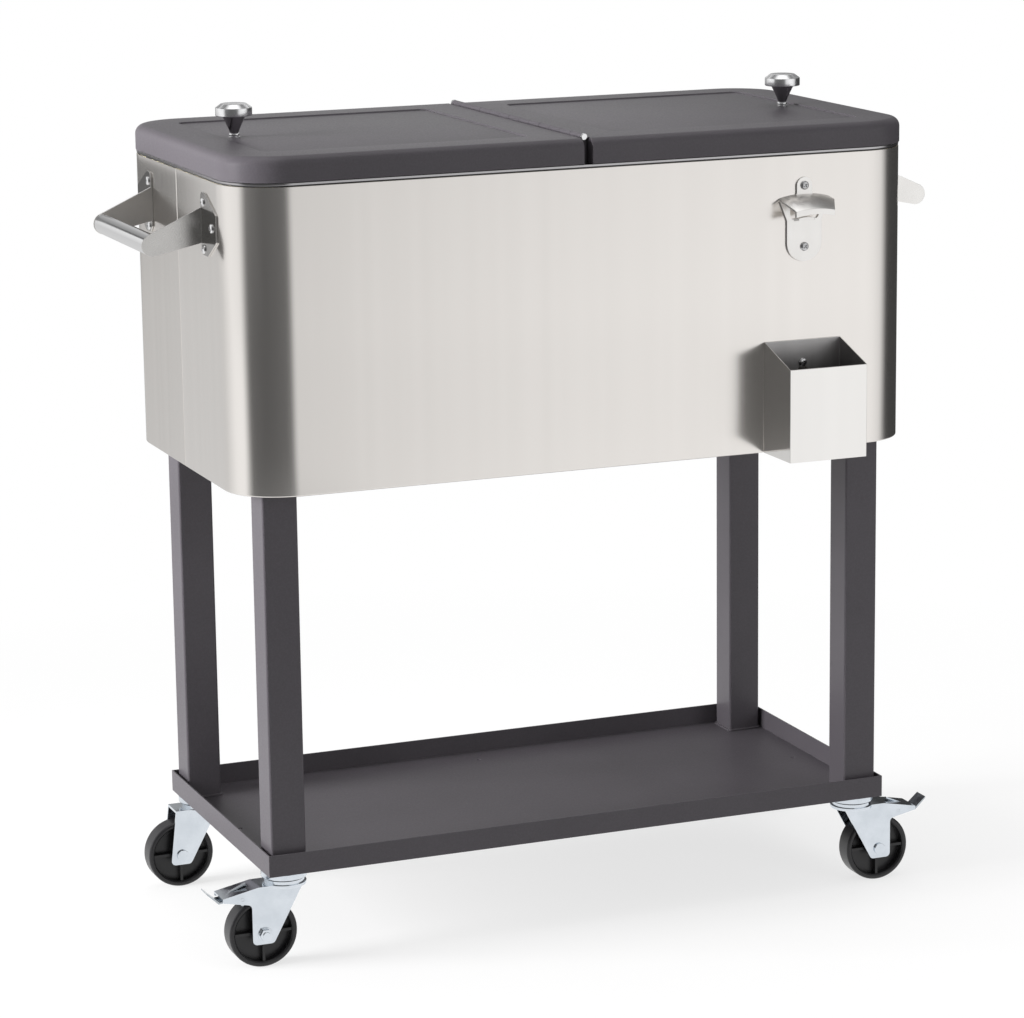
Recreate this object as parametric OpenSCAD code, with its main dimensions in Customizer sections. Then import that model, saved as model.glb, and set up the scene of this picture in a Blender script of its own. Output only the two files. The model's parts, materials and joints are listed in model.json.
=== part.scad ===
// Rolling cooler cart: an insulated stainless tank with two hinged lids, on four square legs
// with a shelf tray and four swivel casters, the two front ones with brakes.
// Millimetres. +X runs along the tank to its right end, -Y is the front with the bottle
// opener, +Z is up. The origin is on the floor, under the middle of the whole cart.

/* [Tank] */
// Length of the tank
tank_l = 780; // [700:1:900]
// Width of the tank, front to back
tank_w = 404; // [360:1:460]
// Height of the tank's outer walls
tank_h = 322.5; // [270:0.5:380]
// Radius of the tank's upright corners
corner_r = 62; // [54:1:70]
// Thickness of the outer sheets
shell_t = 1; // [0.8:0.1:1.4]
// Width of the hem that the outer sheets turn in under the tank
hem_w = 12; // [8:0.5:14]
// Thickness of the panel under the tank
bottom_t = 1.5; // [1:0.1:2.5]
// Thickness of the insulated walls, sheets and all
wall_w = 25; // [22:0.5:30]
// Thickness of the insulated floor
floor_w = 25.5; // [23:0.5:32]
// Thickness of the inner liner
liner_t = 0.8; // [0.6:0.1:1.2]
// Radius between the liner's walls and its floor
liner_edge_r = 12; // [8:1:16]
// Height of the trim frame on the tank's mouth
rim_h = 3.4; // [3:0.1:5]

/* [Lids] */
// Height of the lids
lid_h = 26.7; // [24:0.1:32]
// Thickness of the lid sheet
lid_t = 1; // [0.8:0.1:1.2]
// Radius along the lids' upper outer edges
lid_edge_r = 10; // [8:0.5:12]
// How far the lids stand out past the tank's ends
lid_end_overhang = 0.5; // [0.3:0.1:1.5]
// How far the lids stand out past the tank's front and back
lid_side_overhang = 1; // [0.5:0.1:2]
// Gap between the two lids, over the hinge
lid_split = 9.4; // [9:0.1:12]
// Depth of the pressed panel in each lid
recess_d = 1.5; // [1:0.1:1.8]
// Distance from the lid's outer edges to the pressed panel
recess_border = 50; // [35:1:60]
// Depth of the plug under each lid, which enters the tank's mouth
plug_d = 9; // [5:0.5:12]
// Gap round the plug in the mouth
plug_gap = 5; // [4:0.5:8]

/* [Hinge] */
// Diameter of the hinge rod
rod_d = 4.6; // [4:0.1:5]
// Diameter of the hinge barrel
barrel_d = 7; // [6.6:0.1:7.4]
// Number of knuckles along the barrel
knuckle_count = 13; // [7:3:19]
// Distance from the lids' front and rear edges to the ends of the barrel
hinge_margin = 14.75; // [13:0.25:20]
// Thickness of the hinge leaves
leaf_t = 1.4; // [1:0.1:1.5]
// Width of the hinge leaves
leaf_w = 21.3; // [15:0.1:30]
// Width of the bar across the tank's mouth
bar_w = 46; // [36:1:60]
// Height of the bar across the tank's mouth
bar_h = 24.2; // [18:0.1:30]

/* [Knobs] */
// Distance from the lid's outer end to the middle of its knob
knob_inset = 66.5; // [60:0.5:90]
// Diameter of the knob's cap
knob_d = 39.3; // [34:0.1:44]
// Height of the knob's straight band
knob_band_h = 10; // [7:0.5:14]
// Height of the knob's tapered stem
stem_h = 16; // [12:0.5:20]

/* [Handles] */
// Diameter of the handle tubes
handle_d = 22; // [18:0.5:26]
// Distance from the tank's end to the middle of the handle tube
handle_reach = 55.5; // [48:0.5:70]
// Length of the handle tubes, between their arms
handle_l = 182; // [150:1:200]
// Height of the tank's upper edge above the middle of the handle tubes
handle_drop = 66.8; // [60.5:0.1:120]
// Thickness of the bracket sheets
bracket_t = 2; // [1.5:0.1:3]

/* [Bottle opener] */
// Distance from the tank's right end to the middle of the opener
opener_inset = 139; // [110:1:200]
// Height of the tank's upper edge above the opener's lower screw
opener_drop = 98.8; // [96.5:0.1:120]
// Width of the opener's plate
opener_w = 41.5; // [36:0.5:48]
// Width of the opener's hood
hood_w = 62; // [54:0.5:68]
// How far the hood stands out from the tank
hood_reach = 30; // [26:0.5:34]

/* [Cap catcher] */
// Distance from the tank's right end to the middle of the catcher
catcher_inset = 140; // [110:1:200]
// Width of the catcher
catcher_w = 91.7; // [70:0.1:120]
// Distance from the tank's front to the catcher's front
catcher_reach = 65; // [50:0.5:80]
// Height of the catcher's back
catcher_h = 122; // [100:0.5:150]
// Height of the catcher's front
catcher_front_h = 101.3; // [80:0.1:110]
// Thickness of the catcher's sheet
catcher_t = 1; // [0.8:0.1:2]
// How far the catcher lifts off its screw
catcher_lift = 8; // [7:0.5:12]

/* [Legs and shelf] */
// Width of the square legs
leg_w = 38.8; // [30:0.1:45]
// Wall of the square legs
leg_wall = 1.2; // [1:0.1:2.5]
// Height of the legs, from the shelf's floor to the tank's panel
leg_l = 415.3; // [330:0.1:520]
// Distance from the tank's ends to the middle of the legs
leg_end_inset = 50; // [48:0.5:90]
// Distance from the tank's front and back to the middle of the legs
leg_side_inset = 51; // [48:0.5:80]
// Width of the shelf beyond the legs at its ends
shelf_end_margin = 5.6; // [4.5:0.1:12]
// Width of the shelf beyond the legs at its front and back
shelf_side_margin = 7.6; // [4.5:0.1:12]
// Thickness of the shelf's sheet
shelf_t = 1.5; // [1:0.1:2]
// Height of the shelf's lip, outside
shelf_lip_h = 23.8; // [15:0.1:40]
// Diameter of the drain holes in the shelf
shelf_hole_d = 5; // [4:0.5:8]
// Distance from the shelf's front and back edges to its drain holes
shelf_hole_inset = 34.5; // [25:0.5:60]

/* [Casters] */
// Diameter of the wheels
wheel_d = 76; // [65:1:90]
// Width of the wheels
wheel_w = 24; // [20:0.5:28]
// Distance from the swivel axis back to the axle
trail = 28; // [24:0.5:32]
// Clear width inside the forks
fork_gap = 28; // [27:0.5:34]
// Thickness of the forks' sheet
fork_t = 2; // [1.5:0.1:3]
// Height between the top of the wheel and the fork's top sheet
fork_headroom = 12; // [10:0.5:18]
// Diameter of the fork's bearing race
race_d = 48; // [42:0.5:54]
// Diameter of the wheel axles
axle_d = 8; // [6:0.1:10]
// Reach of the brake forks' noses from the swivel axis
nose_reach = 74; // [70:0.5:80]
// Width of the brake pedals
pedal_w = 20; // [14:0.5:24]
// Reach of the brake pedals from the swivel axis
pedal_reach = 90; // [86:0.5:96]

/* [Drain] */
// Distance from the tank's left end to the middle of the drain
drain_inset = 140; // [110:1:250]
// Bore of the drain
drain_bore = 14; // [10:0.5:18]
// Outer diameter of the drain's threaded pipe
drain_d = 22; // [20:0.5:26]
// How far the pipe reaches below the tank
drain_drop = 24; // [21:0.5:32]

/* [Hidden] */

// Colours
stainless = [0.80, 0.79, 0.77];
bright_steel = [0.86, 0.86, 0.87];
zinc = [0.80, 0.84, 0.88];
powder_coat = [0.28, 0.28, 0.30];
black_plastic = [0.16, 0.16, 0.17];
liner_grey = [0.72, 0.73, 0.74];
insulation = [0.93, 0.89, 0.76];

// Roundness of circles, steps along a rounded corner of an outline, and the overrun of cuts
$fn = 64;
arc_steps = 5;
overrun = 2;

// Clearances
fit = 0.05;
rub_gap = 0.3;
seat_gap = 0.5;

// Lengthways and crossways sides
left = -1;
right = 1;
front = -1;
rear = 1;

// Heights, from the floor up
axle_z = wheel_d / 2;
fork_top_t = 3;
race_h = 4;
race_gap = 1.5;
cup_h = 7.2;
fork_z = wheel_d + fork_headroom;
race_z = fork_z + fork_top_t;
cup_z = race_z + race_h + race_gap;
shelf_z = cup_z + cup_h;
shelf_top = shelf_z + shelf_t;
panel_z = shelf_top + leg_l;
tank_z = panel_z - shell_t;
tank_top = tank_z + tank_h;
liner_floor_z = tank_z + floor_w;
rim_z = tank_top + liner_t;
rim_top = rim_z + rim_h;
lid_z = rim_top + seat_gap;
lid_top = lid_z + lid_h;
barrel_rise = 0.6;
barrel_z = lid_top + barrel_rise;
recess_z = lid_top - recess_d;

// Tank
mouth_l = tank_l - 2 * wall_w;
mouth_w = tank_w - 2 * wall_w;
mouth_r = corner_r - wall_w + liner_t;
flange_setback = 1.5;

// Lids, drawn for the right end
lid_l = tank_l + 2 * lid_end_overhang;
lid_w = tank_w + 2 * lid_side_overhang;
lid_r = corner_r;
lid_inner_x = lid_split / 2;
recess_inner_border = 44;
recess_r = 8;
recess_x0 = lid_inner_x + recess_inner_border;
recess_x1 = lid_l / 2 - recess_border;
recess_w = lid_w - 2 * recess_border;
lid_liner_t = 1.2;
lid_liner_z = lid_z + seat_gap;
lid_foam_z = lid_liner_z + lid_liner_t;
lid_foam_top = recess_z - lid_t;
plug_x0 = bar_w / 2 + plug_gap;
plug_x1 = mouth_l / 2 - plug_gap;
plug_w = mouth_w - 2 * plug_gap;
plug_r = mouth_r - plug_gap;

// Hinge
hinge_l = lid_w - 2 * hinge_margin;
knuckle_gap = 0.5;
knuckle_l = (hinge_l - (knuckle_count - 1) * knuckle_gap) / knuckle_count;
rod_bore_d = rod_d + 2 * fit;
rod_head_d = 7.4;
rod_head_l = 3;
bar_t = 1.5;
bar_z = rim_top - bar_h;
bar_tab_l = 13;
web_w = 7;
web_under_barrel = 1.1;
web_top = barrel_z - barrel_d / 2 - web_under_barrel;
bar_neck_w = 3;
leaf_neck_x = 1.5;
own_bar = 0;
own_left = 1;
own_right = 2;

// Knobs
knob_x = lid_l / 2 - knob_inset;
stem_foot_d = 16;
stem_foot_h = 3.1;
stem_neck_d = 14;
stem_top_d = 25.5;
knob_crown_h = 7;
knob_crown_d = 27;
knob_edge = 0.8;
knob_z = recess_z + stem_foot_h + stem_h;
knob_screw_d = 5;
knob_screw_depth = 6;
knob_nut_d = 9.5;
knob_nut_h = 4;

// Screws in the tank's walls
screw_d = 4.9;
screw_head_d = 9.6;
screw_head_h = 2.6;
screw_head_top_share = 0.62;
screw_depth = 14;

// Handles
handle_z = tank_top - handle_drop;
handle_x = tank_l / 2 + handle_reach;
handle_wall = 1.2;
arm_end_r = handle_d / 2 + seat_gap;
arm_root_h = 37.8;
flange_w = 51;
flange_rise = 15.5;
flange_drop = 12.5;
flange_corner_r = 4;
// Corners of the flange: shares of its width, of the arm's root, of the rise and of the drop
flange_corner_shares = [
    [0, 0, 0, 0.5], [0.1, 0, 0, 1], [0.42, 0, 0, 1], [1, 0.13, 0, 0],
    [1, 0.9, 0, 0], [0.27, 1, 1, 0], [0.06, 1, 1, 0], [0, 1, 0.6, 0]
];
// Places of the flange's screws, in the same shares
flange_screw_shares = [[0.18, 0, 0, 0.5], [0.73, 0.5, 0, 0], [0.18, 1, 0.33, 0]];

// Bottle opener
opener_x = tank_l / 2 - opener_inset;
opener_z = tank_top - opener_drop;
opener_t = 2.5;
opener_pitch = 66.3;
opener_foot_r = opener_w / 2;
opener_foot_drop = 4.8;
tab_w = 18;
hood_root_rise = 57.2;
hood_root_w = 58;
hood_knee_reach = 14;
hood_knee_fall = 2.5;
hood_wing_reach = 12;
hood_front_w = 44;
hood_fall = 11;
hood_t = 2;
hood_arch_r = 120;
hood_lip_h = 8;
shoulder_rise = 29;
wing_top_rise = 50;
shoulder_fillet = 6;
tab_fillet = 5;
window_w = 34;
window_low_rise = 30;
window_h = 18;
window_corner_r = 4;
tooth_w = 28;
tooth_tip_w = 18;
tooth_reach = 8;
tooth_arch_r = 40;

// Cap catcher
catcher_x = tank_l / 2 - catcher_inset;
catcher_back_gap = rub_gap;
catcher_screw_drop = 25.2;
catcher_screw_z = tank_z + catcher_h - catcher_screw_drop;
keyhole_gap = 0.6;

// Legs and shelf
leg_x = tank_l / 2 - leg_end_inset;
leg_y = tank_w / 2 - leg_side_inset;
leg_corner_r = 2.5;
leg_plate_t = 3;
foot_margin = 2.2;
foot_h = 2;
leg_bolt_d = 8;
leg_bolt_head_d = 15;
leg_bolt_head_h = 5.3;
leg_nut_h = 6.5;
leg_bolt_end = 4;
shelf_l = 2 * leg_x + leg_w + 2 * shelf_end_margin;
shelf_w = 2 * leg_y + leg_w + 2 * shelf_side_margin;

// Casters, drawn with the wheel towards +X of the swivel axis
cup_d = race_d + 2;
cup_wall = 2;
kingpin_d = 12;
kingpin_head_d = 19;
kingpin_head_h = 3;
stem_above = 14;
stem_nut_d = 21;
stem_nut_h = 8;
fork_w = fork_gap + 2 * fork_t;
fork_back = 18.5;
fork_back_chamfer = 3.4;
fork_front = 34;
lug_low = 11;
lug_front = 13.7;
lug_back = 10;
lug_r = 5;
crotch_z = axle_z + 34;
crotch_r = 5;
nose_z = fork_z - 9.4;
nose_h = 4.4;
nose_slot_l = 20;
nose_slot_w = 6;
nose_slot_back = 42;
tongue_w = 4;
tongue_t = 1.5;
tongue_root = 2;
tongue_gap = 2;
tongue_rise = 4;
tongue_sink = 0.3;
axle_head_d = 13;
axle_head_h = 2.4;
axle_nut_d = 14;
axle_nut_h = 4;
axle_washer_d = 16;
axle_washer_h = 1;
axle_end = 1.4;
wheel_bore_d = axle_d + 4 * fit;
hub_d = 21;
hub_w = fork_gap - 2 * rub_gap;
wheel_web_t = 5;
wheel_rim_t = 6;
wheel_edge_r = 3;
wheel_bevel = 1.5;
spoke_count = 4;
spoke_w = 3;
spoke_inset = 2.5;
pedal_pin_d = 4;
pedal_pin_x = 52;
pedal_pin_z = fork_z - 8;
pedal_boss_d = 9;
pedal_t = 2;
pedal_bend_x = nose_reach + 3;
pedal_bend_z = nose_z - 1.5;
pedal_tip_z = fork_z + 2.5;
pedal_press = 16;
brake_gap = 0.8;
cam_tip_r = 2.2;

// Drain
drain_x = drain_inset - tank_l / 2;
drain_flange_d = 36;
drain_flange_h = 2;
drain_nut_d = 38;
drain_nut_h = 8;
drain_cap_wall = 3;
drain_cap_h = 16;
drain_seal_gap = 1;

// The whole cart
front_reach = tank_w / 2 + catcher_reach;
rear_reach = lid_w / 2;
cart_y = (front_reach - rear_reach) / 2;

// Outlines with rounded corners: each corner is [x, y, radius]
function flat(p) = [p[0], p[1]];
function unit(v) = v / norm(v);
function rounded_corner(a, b, c, r) =
    r == 0 ? [b] :
    let (
        u = unit(a - b),
        v = unit(c - b),
        half = acos(u * v) / 2,
        middle = b + unit(u + v) * r / sin(half),
        first = b + u * r / tan(half) - middle,
        last = b + v * r / tan(half) - middle,
        from = atan2(first[1], first[0]),
        turn = (atan2(last[1], last[0]) - from + 540) % 360 - 180
    )
    [for (i = [0:arc_steps]) let (a = from + turn * i / arc_steps) middle + r * [cos(a), sin(a)]];
function rounded_outline(corners) =
    let (n = len(corners))
    [for (i = [0:n - 1]) each rounded_corner(
        flat(corners[(i + n - 1) % n]), flat(corners[i]), flat(corners[(i + 1) % n]), corners[i][2]
    )];
// Point where a line from p touches the circle at c, on the side that way gives
function tangent_point(p, c, r, way) =
    let (away = p - c, a = atan2(away[1], away[0]) + way * acos(r / norm(away)))
    c + r * [cos(a), sin(a)];

module placed() {
    translate([0, cart_y, 0]) children();
}

module rounded_rect_2d(l, w, r) {
    square([l - 2 * r, w], center = true);
    square([l, w - 2 * r], center = true);
    for (sx = [-1, 1], sy = [-1, 1])
        translate([sx * (l / 2 - r), sy * (w / 2 - r)]) circle(r);
}

module tank_block(inset, low, high) {
    translate([0, 0, low])
        linear_extrude(high - low)
            rounded_rect_2d(tank_l - 2 * inset, tank_w - 2 * inset, corner_r - inset);
}

// Half of a block's upright section beside its edge, rounded at the top
module edge_profile_2d(w, h, edge_r) {
    square([w - edge_r, h]);
    square([w, h - edge_r]);
    translate([w - edge_r, h - edge_r]) circle(edge_r);
}

// Block on z = 0 with upright corners of radius r and its upper edges rounded
module edge_rounded_block(l, w, r, h, edge_r) {
    half_l = l / 2 - r;
    half_w = w / 2 - r;
    translate([-half_l, -half_w, 0]) cube([2 * half_l, 2 * half_w, h]);
    for (turn = [0, 180]) {
        rotate([0, 0, turn]) translate([-half_l, half_w, 0]) rotate([90, 0, 90])
            linear_extrude(2 * half_l) edge_profile_2d(r, h, edge_r);
        rotate([0, 0, turn]) translate([half_l, half_w, 0]) rotate([90, 0, 0])
            linear_extrude(2 * half_w) edge_profile_2d(r, h, edge_r);
    }
    for (c = [[1, 1, 0], [-1, 1, 90], [-1, -1, 180], [1, -1, 270]])
        translate([c[0] * half_l, c[1] * half_w, 0]) rotate([0, 0, c[2]])
            rotate_extrude(angle = 90) edge_profile_2d(r, h, edge_r);
}

// Screw with its shank down from z = 0 and a domed head above
module pan_screw(d, depth, head_d, head_h) {
    translate([0, 0, -depth]) cylinder(h = depth, d = d);
    cylinder(h = head_h, d1 = head_d, d2 = head_d * screw_head_top_share);
}

// Places a screw's axis on the tank's end wall: side is left or right
module on_end(side, y, z, off = 0) {
    translate([side * (tank_l / 2 + off), y, z]) rotate([0, side * 90, 0]) children();
}

// Places a screw's axis on the tank's front wall
module on_front(x, z, off = 0) {
    translate([x, -tank_w / 2 - off, z]) rotate([90, 0, 0]) children();
}

function flange_point(share) = [
    handle_l / 2 + share[0] * flange_w,
    share[1] * arm_root_h + share[2] * flange_rise - share[3] * flange_drop
];
flange_corners = [for (share = flange_corner_shares) concat(flange_point(share), flange_corner_r)];
flange_screws = [for (share = flange_screw_shares) flange_point(share)];
// Front screws as [x, z, distance of the head from the tank's front]
front_screw_places = [
    [opener_x, opener_z, opener_t],
    [opener_x, opener_z + opener_pitch, opener_t],
    [catcher_x, catcher_screw_z, catcher_back_gap + catcher_t + rub_gap]
];

module wall_screw_shanks() {
    for (side = [left, right], way = [front, rear], p = flange_screws)
        on_end(side, way * p[0], handle_z + p[1])
            translate([0, 0, -screw_depth]) cylinder(h = screw_depth + overrun, d = screw_d);
    for (p = front_screw_places)
        on_front(p[0], p[1])
            translate([0, 0, -screw_depth]) cylinder(h = screw_depth + overrun, d = screw_d);
}

module drain_hole() {
    translate([drain_x, 0, tank_z - overrun]) cylinder(h = floor_w + 2 * overrun, d = drain_d);
}

module at_legs() {
    for (side = [left, right], way = [front, rear])
        translate([side * leg_x, way * leg_y, 0]) children();
}

module half_shell(way) {
    color(stainless) placed() difference() {
        tank_block(0, tank_z, tank_top);
        tank_block(shell_t, panel_z, tank_top + overrun);
        tank_block(shell_t + hem_w, tank_z - overrun, panel_z + overrun);
        translate([-tank_l, way > 0 ? -tank_w : 0, tank_z - overrun])
            cube([2 * tank_l, tank_w, tank_h + 2 * overrun]);
        wall_screw_shanks();
    }
}

module bottom_panel() {
    color(stainless) placed() difference() {
        tank_block(shell_t, panel_z, panel_z + bottom_t);
        at_legs() translate([0, 0, panel_z - overrun])
            cylinder(h = bottom_t + 2 * overrun, d = leg_bolt_d);
        drain_hole();
    }
}

// The liner's outer form, with its lower edges rounded
module liner_block(inset) {
    translate([0, 0, tank_top]) mirror([0, 0, 1])
        edge_rounded_block(
            mouth_l + 2 * liner_t - 2 * inset, mouth_w + 2 * liner_t - 2 * inset,
            mouth_r - inset, tank_top - liner_floor_z + liner_t - inset, liner_edge_r - inset
        );
}

module foam_insulation() {
    color(insulation) placed() difference() {
        tank_block(shell_t, panel_z + bottom_t, tank_top);
        liner_block(0);
        wall_screw_shanks();
        at_legs() translate([0, 0, panel_z])
            cylinder(h = bottom_t + leg_bolt_head_h, d = leg_bolt_head_d);
        drain_hole();
    }
}

module inner_liner() {
    color(liner_grey) placed() difference() {
        union() {
            liner_block(0);
            tank_block(flange_setback, tank_top, rim_z);
        }
        liner_block(liner_t);
        translate([0, 0, tank_top - overrun])
            linear_extrude(liner_t + 2 * overrun)
                rounded_rect_2d(mouth_l, mouth_w, mouth_r - liner_t);
        drain_hole();
    }
}

module rim_trim() {
    color(bright_steel) placed() difference() {
        tank_block(0, rim_z, rim_top);
        translate([0, 0, rim_z - overrun])
            linear_extrude(rim_h + 2 * overrun)
                rounded_rect_2d(mouth_l, mouth_w, mouth_r - liner_t);
        translate([-bar_w / 2, -mouth_w / 2 - bar_tab_l, rim_z - overrun])
            cube([bar_w, mouth_w + 2 * bar_tab_l, rim_h + 2 * overrun]);
    }
}

// The hinge barrel of one owner: rings along the rod, each joined by the neck given as child
module knuckles(owner) {
    difference() {
        for (i = [0:knuckle_count - 1])
            if (i % 3 == owner)
                translate([0, -hinge_l / 2 + i * (knuckle_l + knuckle_gap), barrel_z]) {
                    rotate([-90, 0, 0]) cylinder(h = knuckle_l, d = barrel_d);
                    children();
                }
        translate([0, -hinge_l / 2 - overrun, barrel_z]) rotate([-90, 0, 0])
            cylinder(h = hinge_l + 2 * overrun, d = rod_bore_d);
    }
}

module center_bar() {
    color(powder_coat) placed() {
        difference() {
            translate([-bar_w / 2, -mouth_w / 2, bar_z]) cube([bar_w, mouth_w, bar_h]);
            translate([-bar_w / 2 + bar_t, -mouth_w / 2 - overrun, bar_z - overrun])
                cube([bar_w - 2 * bar_t, mouth_w + 2 * overrun, bar_h - bar_t + overrun]);
        }
        translate([-bar_w / 2, -mouth_w / 2 - bar_tab_l, rim_z])
            cube([bar_w, mouth_w + 2 * bar_tab_l, rim_h]);
        translate([-web_w / 2, -hinge_l / 2, rim_top - bar_t])
            cube([web_w, hinge_l, web_top - rim_top + bar_t]);
        knuckles(own_bar)
            translate([-bar_neck_w / 2, 0, web_top - barrel_z - bar_t])
                cube([bar_neck_w, knuckle_l, barrel_z - web_top + bar_t]);
    }
}

module hinge_rod() {
    head_reach = hinge_l / 2 + rod_head_l;
    color(bright_steel) placed() {
        translate([0, -head_reach, barrel_z]) rotate([-90, 0, 0])
            cylinder(h = 2 * head_reach, d = rod_d);
        for (end = [-head_reach, hinge_l / 2])
            translate([0, end, barrel_z]) rotate([-90, 0, 0])
                cylinder(h = rod_head_l, d = rod_head_d);
    }
}

// The right lid's outer form: both lids as one block, cut along the hinge gap
module lid_block(inset, low) {
    difference() {
        translate([0, 0, low])
            edge_rounded_block(
                lid_l - 2 * inset, lid_w - 2 * inset, lid_r - inset, lid_top - inset - low,
                lid_edge_r - inset
            );
        translate([-lid_l, -lid_w, low - overrun])
            cube([lid_l + lid_inner_x + inset, 2 * lid_w, lid_h + 3 * overrun]);
    }
}

// Outline across the right lid between x0 and x1
module lid_area_2d(x0, x1, w, r) {
    translate([(x0 + x1) / 2, 0]) rounded_rect_2d(x1 - x0, w, r);
}

module knob_hole(d) {
    translate([knob_x, 0, lid_z]) cylinder(h = 2 * lid_h, d = d);
}

module lid_panel() {
    difference() {
        union() {
            difference() {
                lid_block(0, lid_z);
                lid_block(lid_t, lid_z - overrun);
            }
            translate([0, 0, recess_z - lid_t]) linear_extrude(recess_d)
                lid_area_2d(
                    recess_x0 - lid_t, recess_x1 + lid_t, recess_w + 2 * lid_t, recess_r + lid_t
                );
        }
        translate([0, 0, recess_z]) linear_extrude(recess_d + overrun)
            lid_area_2d(recess_x0, recess_x1, recess_w, recess_r);
        translate([lid_inner_x - overrun, -hinge_l / 2, lid_top - lid_t - leaf_t])
            cube([lid_t + 2 * overrun, hinge_l, leaf_t]);
        knob_hole(knob_screw_d);
    }
}

module lid_liner() {
    difference() {
        union() {
            translate([0, 0, lid_liner_z]) linear_extrude(lid_liner_t) difference() {
                rounded_rect_2d(lid_l - 2 * lid_t, lid_w - 2 * lid_t, lid_r - lid_t);
                translate([-lid_l, -lid_w])
                    square([lid_l + lid_inner_x + lid_t, 2 * lid_w]);
            }
            translate([0, 0, lid_liner_z - plug_d]) linear_extrude(plug_d)
                lid_area_2d(plug_x0, plug_x1, plug_w, plug_r);
        }
        translate([0, 0, lid_liner_z - plug_d + lid_liner_t]) linear_extrude(plug_d + overrun)
            lid_area_2d(
                plug_x0 + lid_liner_t, plug_x1 - lid_liner_t, plug_w - 2 * lid_liner_t,
                plug_r - lid_liner_t
            );
    }
}

module lid_foam() {
    difference() {
        union() {
            intersection() {
                lid_block(lid_t, lid_foam_z);
                translate([0, -lid_w, lid_foam_z - overrun])
                    cube([lid_l, 2 * lid_w, lid_foam_top - lid_foam_z + overrun]);
            }
            translate([0, 0, lid_liner_z - plug_d + lid_liner_t])
                linear_extrude(plug_d + lid_liner_t)
                    lid_area_2d(
                        plug_x0 + lid_liner_t, plug_x1 - lid_liner_t,
                        plug_w - 2 * lid_liner_t, plug_r - lid_liner_t
                    );
        }
        translate([knob_x, 0, lid_foam_top - knob_nut_h - knob_screw_depth])
            cylinder(h = knob_nut_h + knob_screw_depth + overrun, d = knob_nut_d);
    }
}

module hinge_leaf(owner) {
    neck_low = lid_top - lid_t - leaf_t;
    translate([lid_inner_x, -hinge_l / 2, neck_low]) cube([leaf_w, hinge_l, leaf_t]);
    knuckles(owner)
        translate([leaf_neck_x, 0, neck_low - barrel_z])
            cube([lid_inner_x - leaf_neck_x + lid_t, knuckle_l, leaf_t]);
}

module knob_stem() {
    translate([knob_x, 0, recess_z]) difference() {
        union() {
            cylinder(h = stem_foot_h, d = stem_foot_d);
            translate([0, 0, stem_foot_h]) cylinder(h = stem_h, d1 = stem_neck_d, d2 = stem_top_d);
        }
        translate([0, 0, -overrun])
            cylinder(h = stem_foot_h + stem_h + 2 * overrun, d = knob_screw_d);
    }
}

module knob_cap() {
    knob_top = knob_band_h + knob_crown_h;
    crown_lean = (knob_d - knob_crown_d) / (2 * knob_crown_h);
    translate([knob_x, 0, knob_z]) difference() {
        rotate_extrude() polygon([
            [0, 0], [knob_d / 2 - knob_edge, 0], [knob_d / 2, knob_edge], [knob_d / 2, knob_band_h],
            [knob_crown_d / 2 + knob_edge * crown_lean, knob_top - knob_edge],
            [knob_crown_d / 2 - knob_edge, knob_top], [0, knob_top]
        ]);
        translate([0, 0, -overrun])
            cylinder(h = knob_band_h + overrun, d = knob_screw_d);
    }
}

module knob_screw() {
    low = lid_foam_top - knob_nut_h - knob_screw_depth;
    translate([knob_x, 0, low]) cylinder(h = knob_z + knob_band_h - low, d = knob_screw_d);
    translate([knob_x, 0, lid_foam_top - knob_nut_h]) cylinder(h = knob_nut_h, d = knob_nut_d);
}

// Draws a right-hand piece on the side asked for
module on_side(side) {
    placed() mirror([side < 0 ? 1 : 0, 0, 0]) children();
}

module handle_bar(side) {
    color(bright_steel) placed() translate([side * handle_x, -handle_l / 2, handle_z])
        rotate([-90, 0, 0]) difference() {
            cylinder(h = handle_l, d = handle_d);
            translate([0, 0, -overrun])
                cylinder(h = handle_l + 2 * overrun, d = handle_d - 2 * handle_wall);
        }
}

// Sheet bracket of the right-hand handle's rear end: an arm along X and a flange on the tank
module handle_bracket() {
    eye = [handle_reach, 0];
    root_top = [0, arm_root_h];
    root_low = [0, 0];
    translate([tank_l / 2, handle_l / 2 + bracket_t, handle_z]) rotate([90, 0, 0])
        linear_extrude(bracket_t) {
            polygon([
                root_low, root_top, tangent_point(root_top, eye, arm_end_r, -1), eye,
                tangent_point(root_low, eye, arm_end_r, 1)
            ]);
            translate(eye) circle(arm_end_r);
        }
    difference() {
        translate([tank_l / 2, 0, handle_z]) rotate([90, 0, 90])
            linear_extrude(bracket_t) polygon(rounded_outline(flange_corners));
        for (p = flange_screws)
            on_end(right, p[0], handle_z + p[1])
                translate([0, 0, -overrun])
                    cylinder(h = bracket_t + 2 * overrun, d = screw_d);
    }
}

module bracket(side, way) {
    color(stainless) placed()
        mirror([side < 0 ? 1 : 0, 0, 0]) mirror([0, way < 0 ? 1 : 0, 0]) handle_bracket();
}

module handle_screws() {
    color(bright_steel) placed()
        for (side = [left, right], way = [front, rear], p = flange_screws)
            on_end(side, way * p[0], handle_z + p[1], bracket_t)
                pan_screw(screw_d, screw_depth + bracket_t, screw_head_d, screw_head_h);
}

module front_screws() {
    color(bright_steel) placed()
        for (p = front_screw_places)
            on_front(p[0], p[1], p[2])
                pan_screw(screw_d, screw_depth + p[2], screw_head_d, screw_head_h);
}

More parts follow.
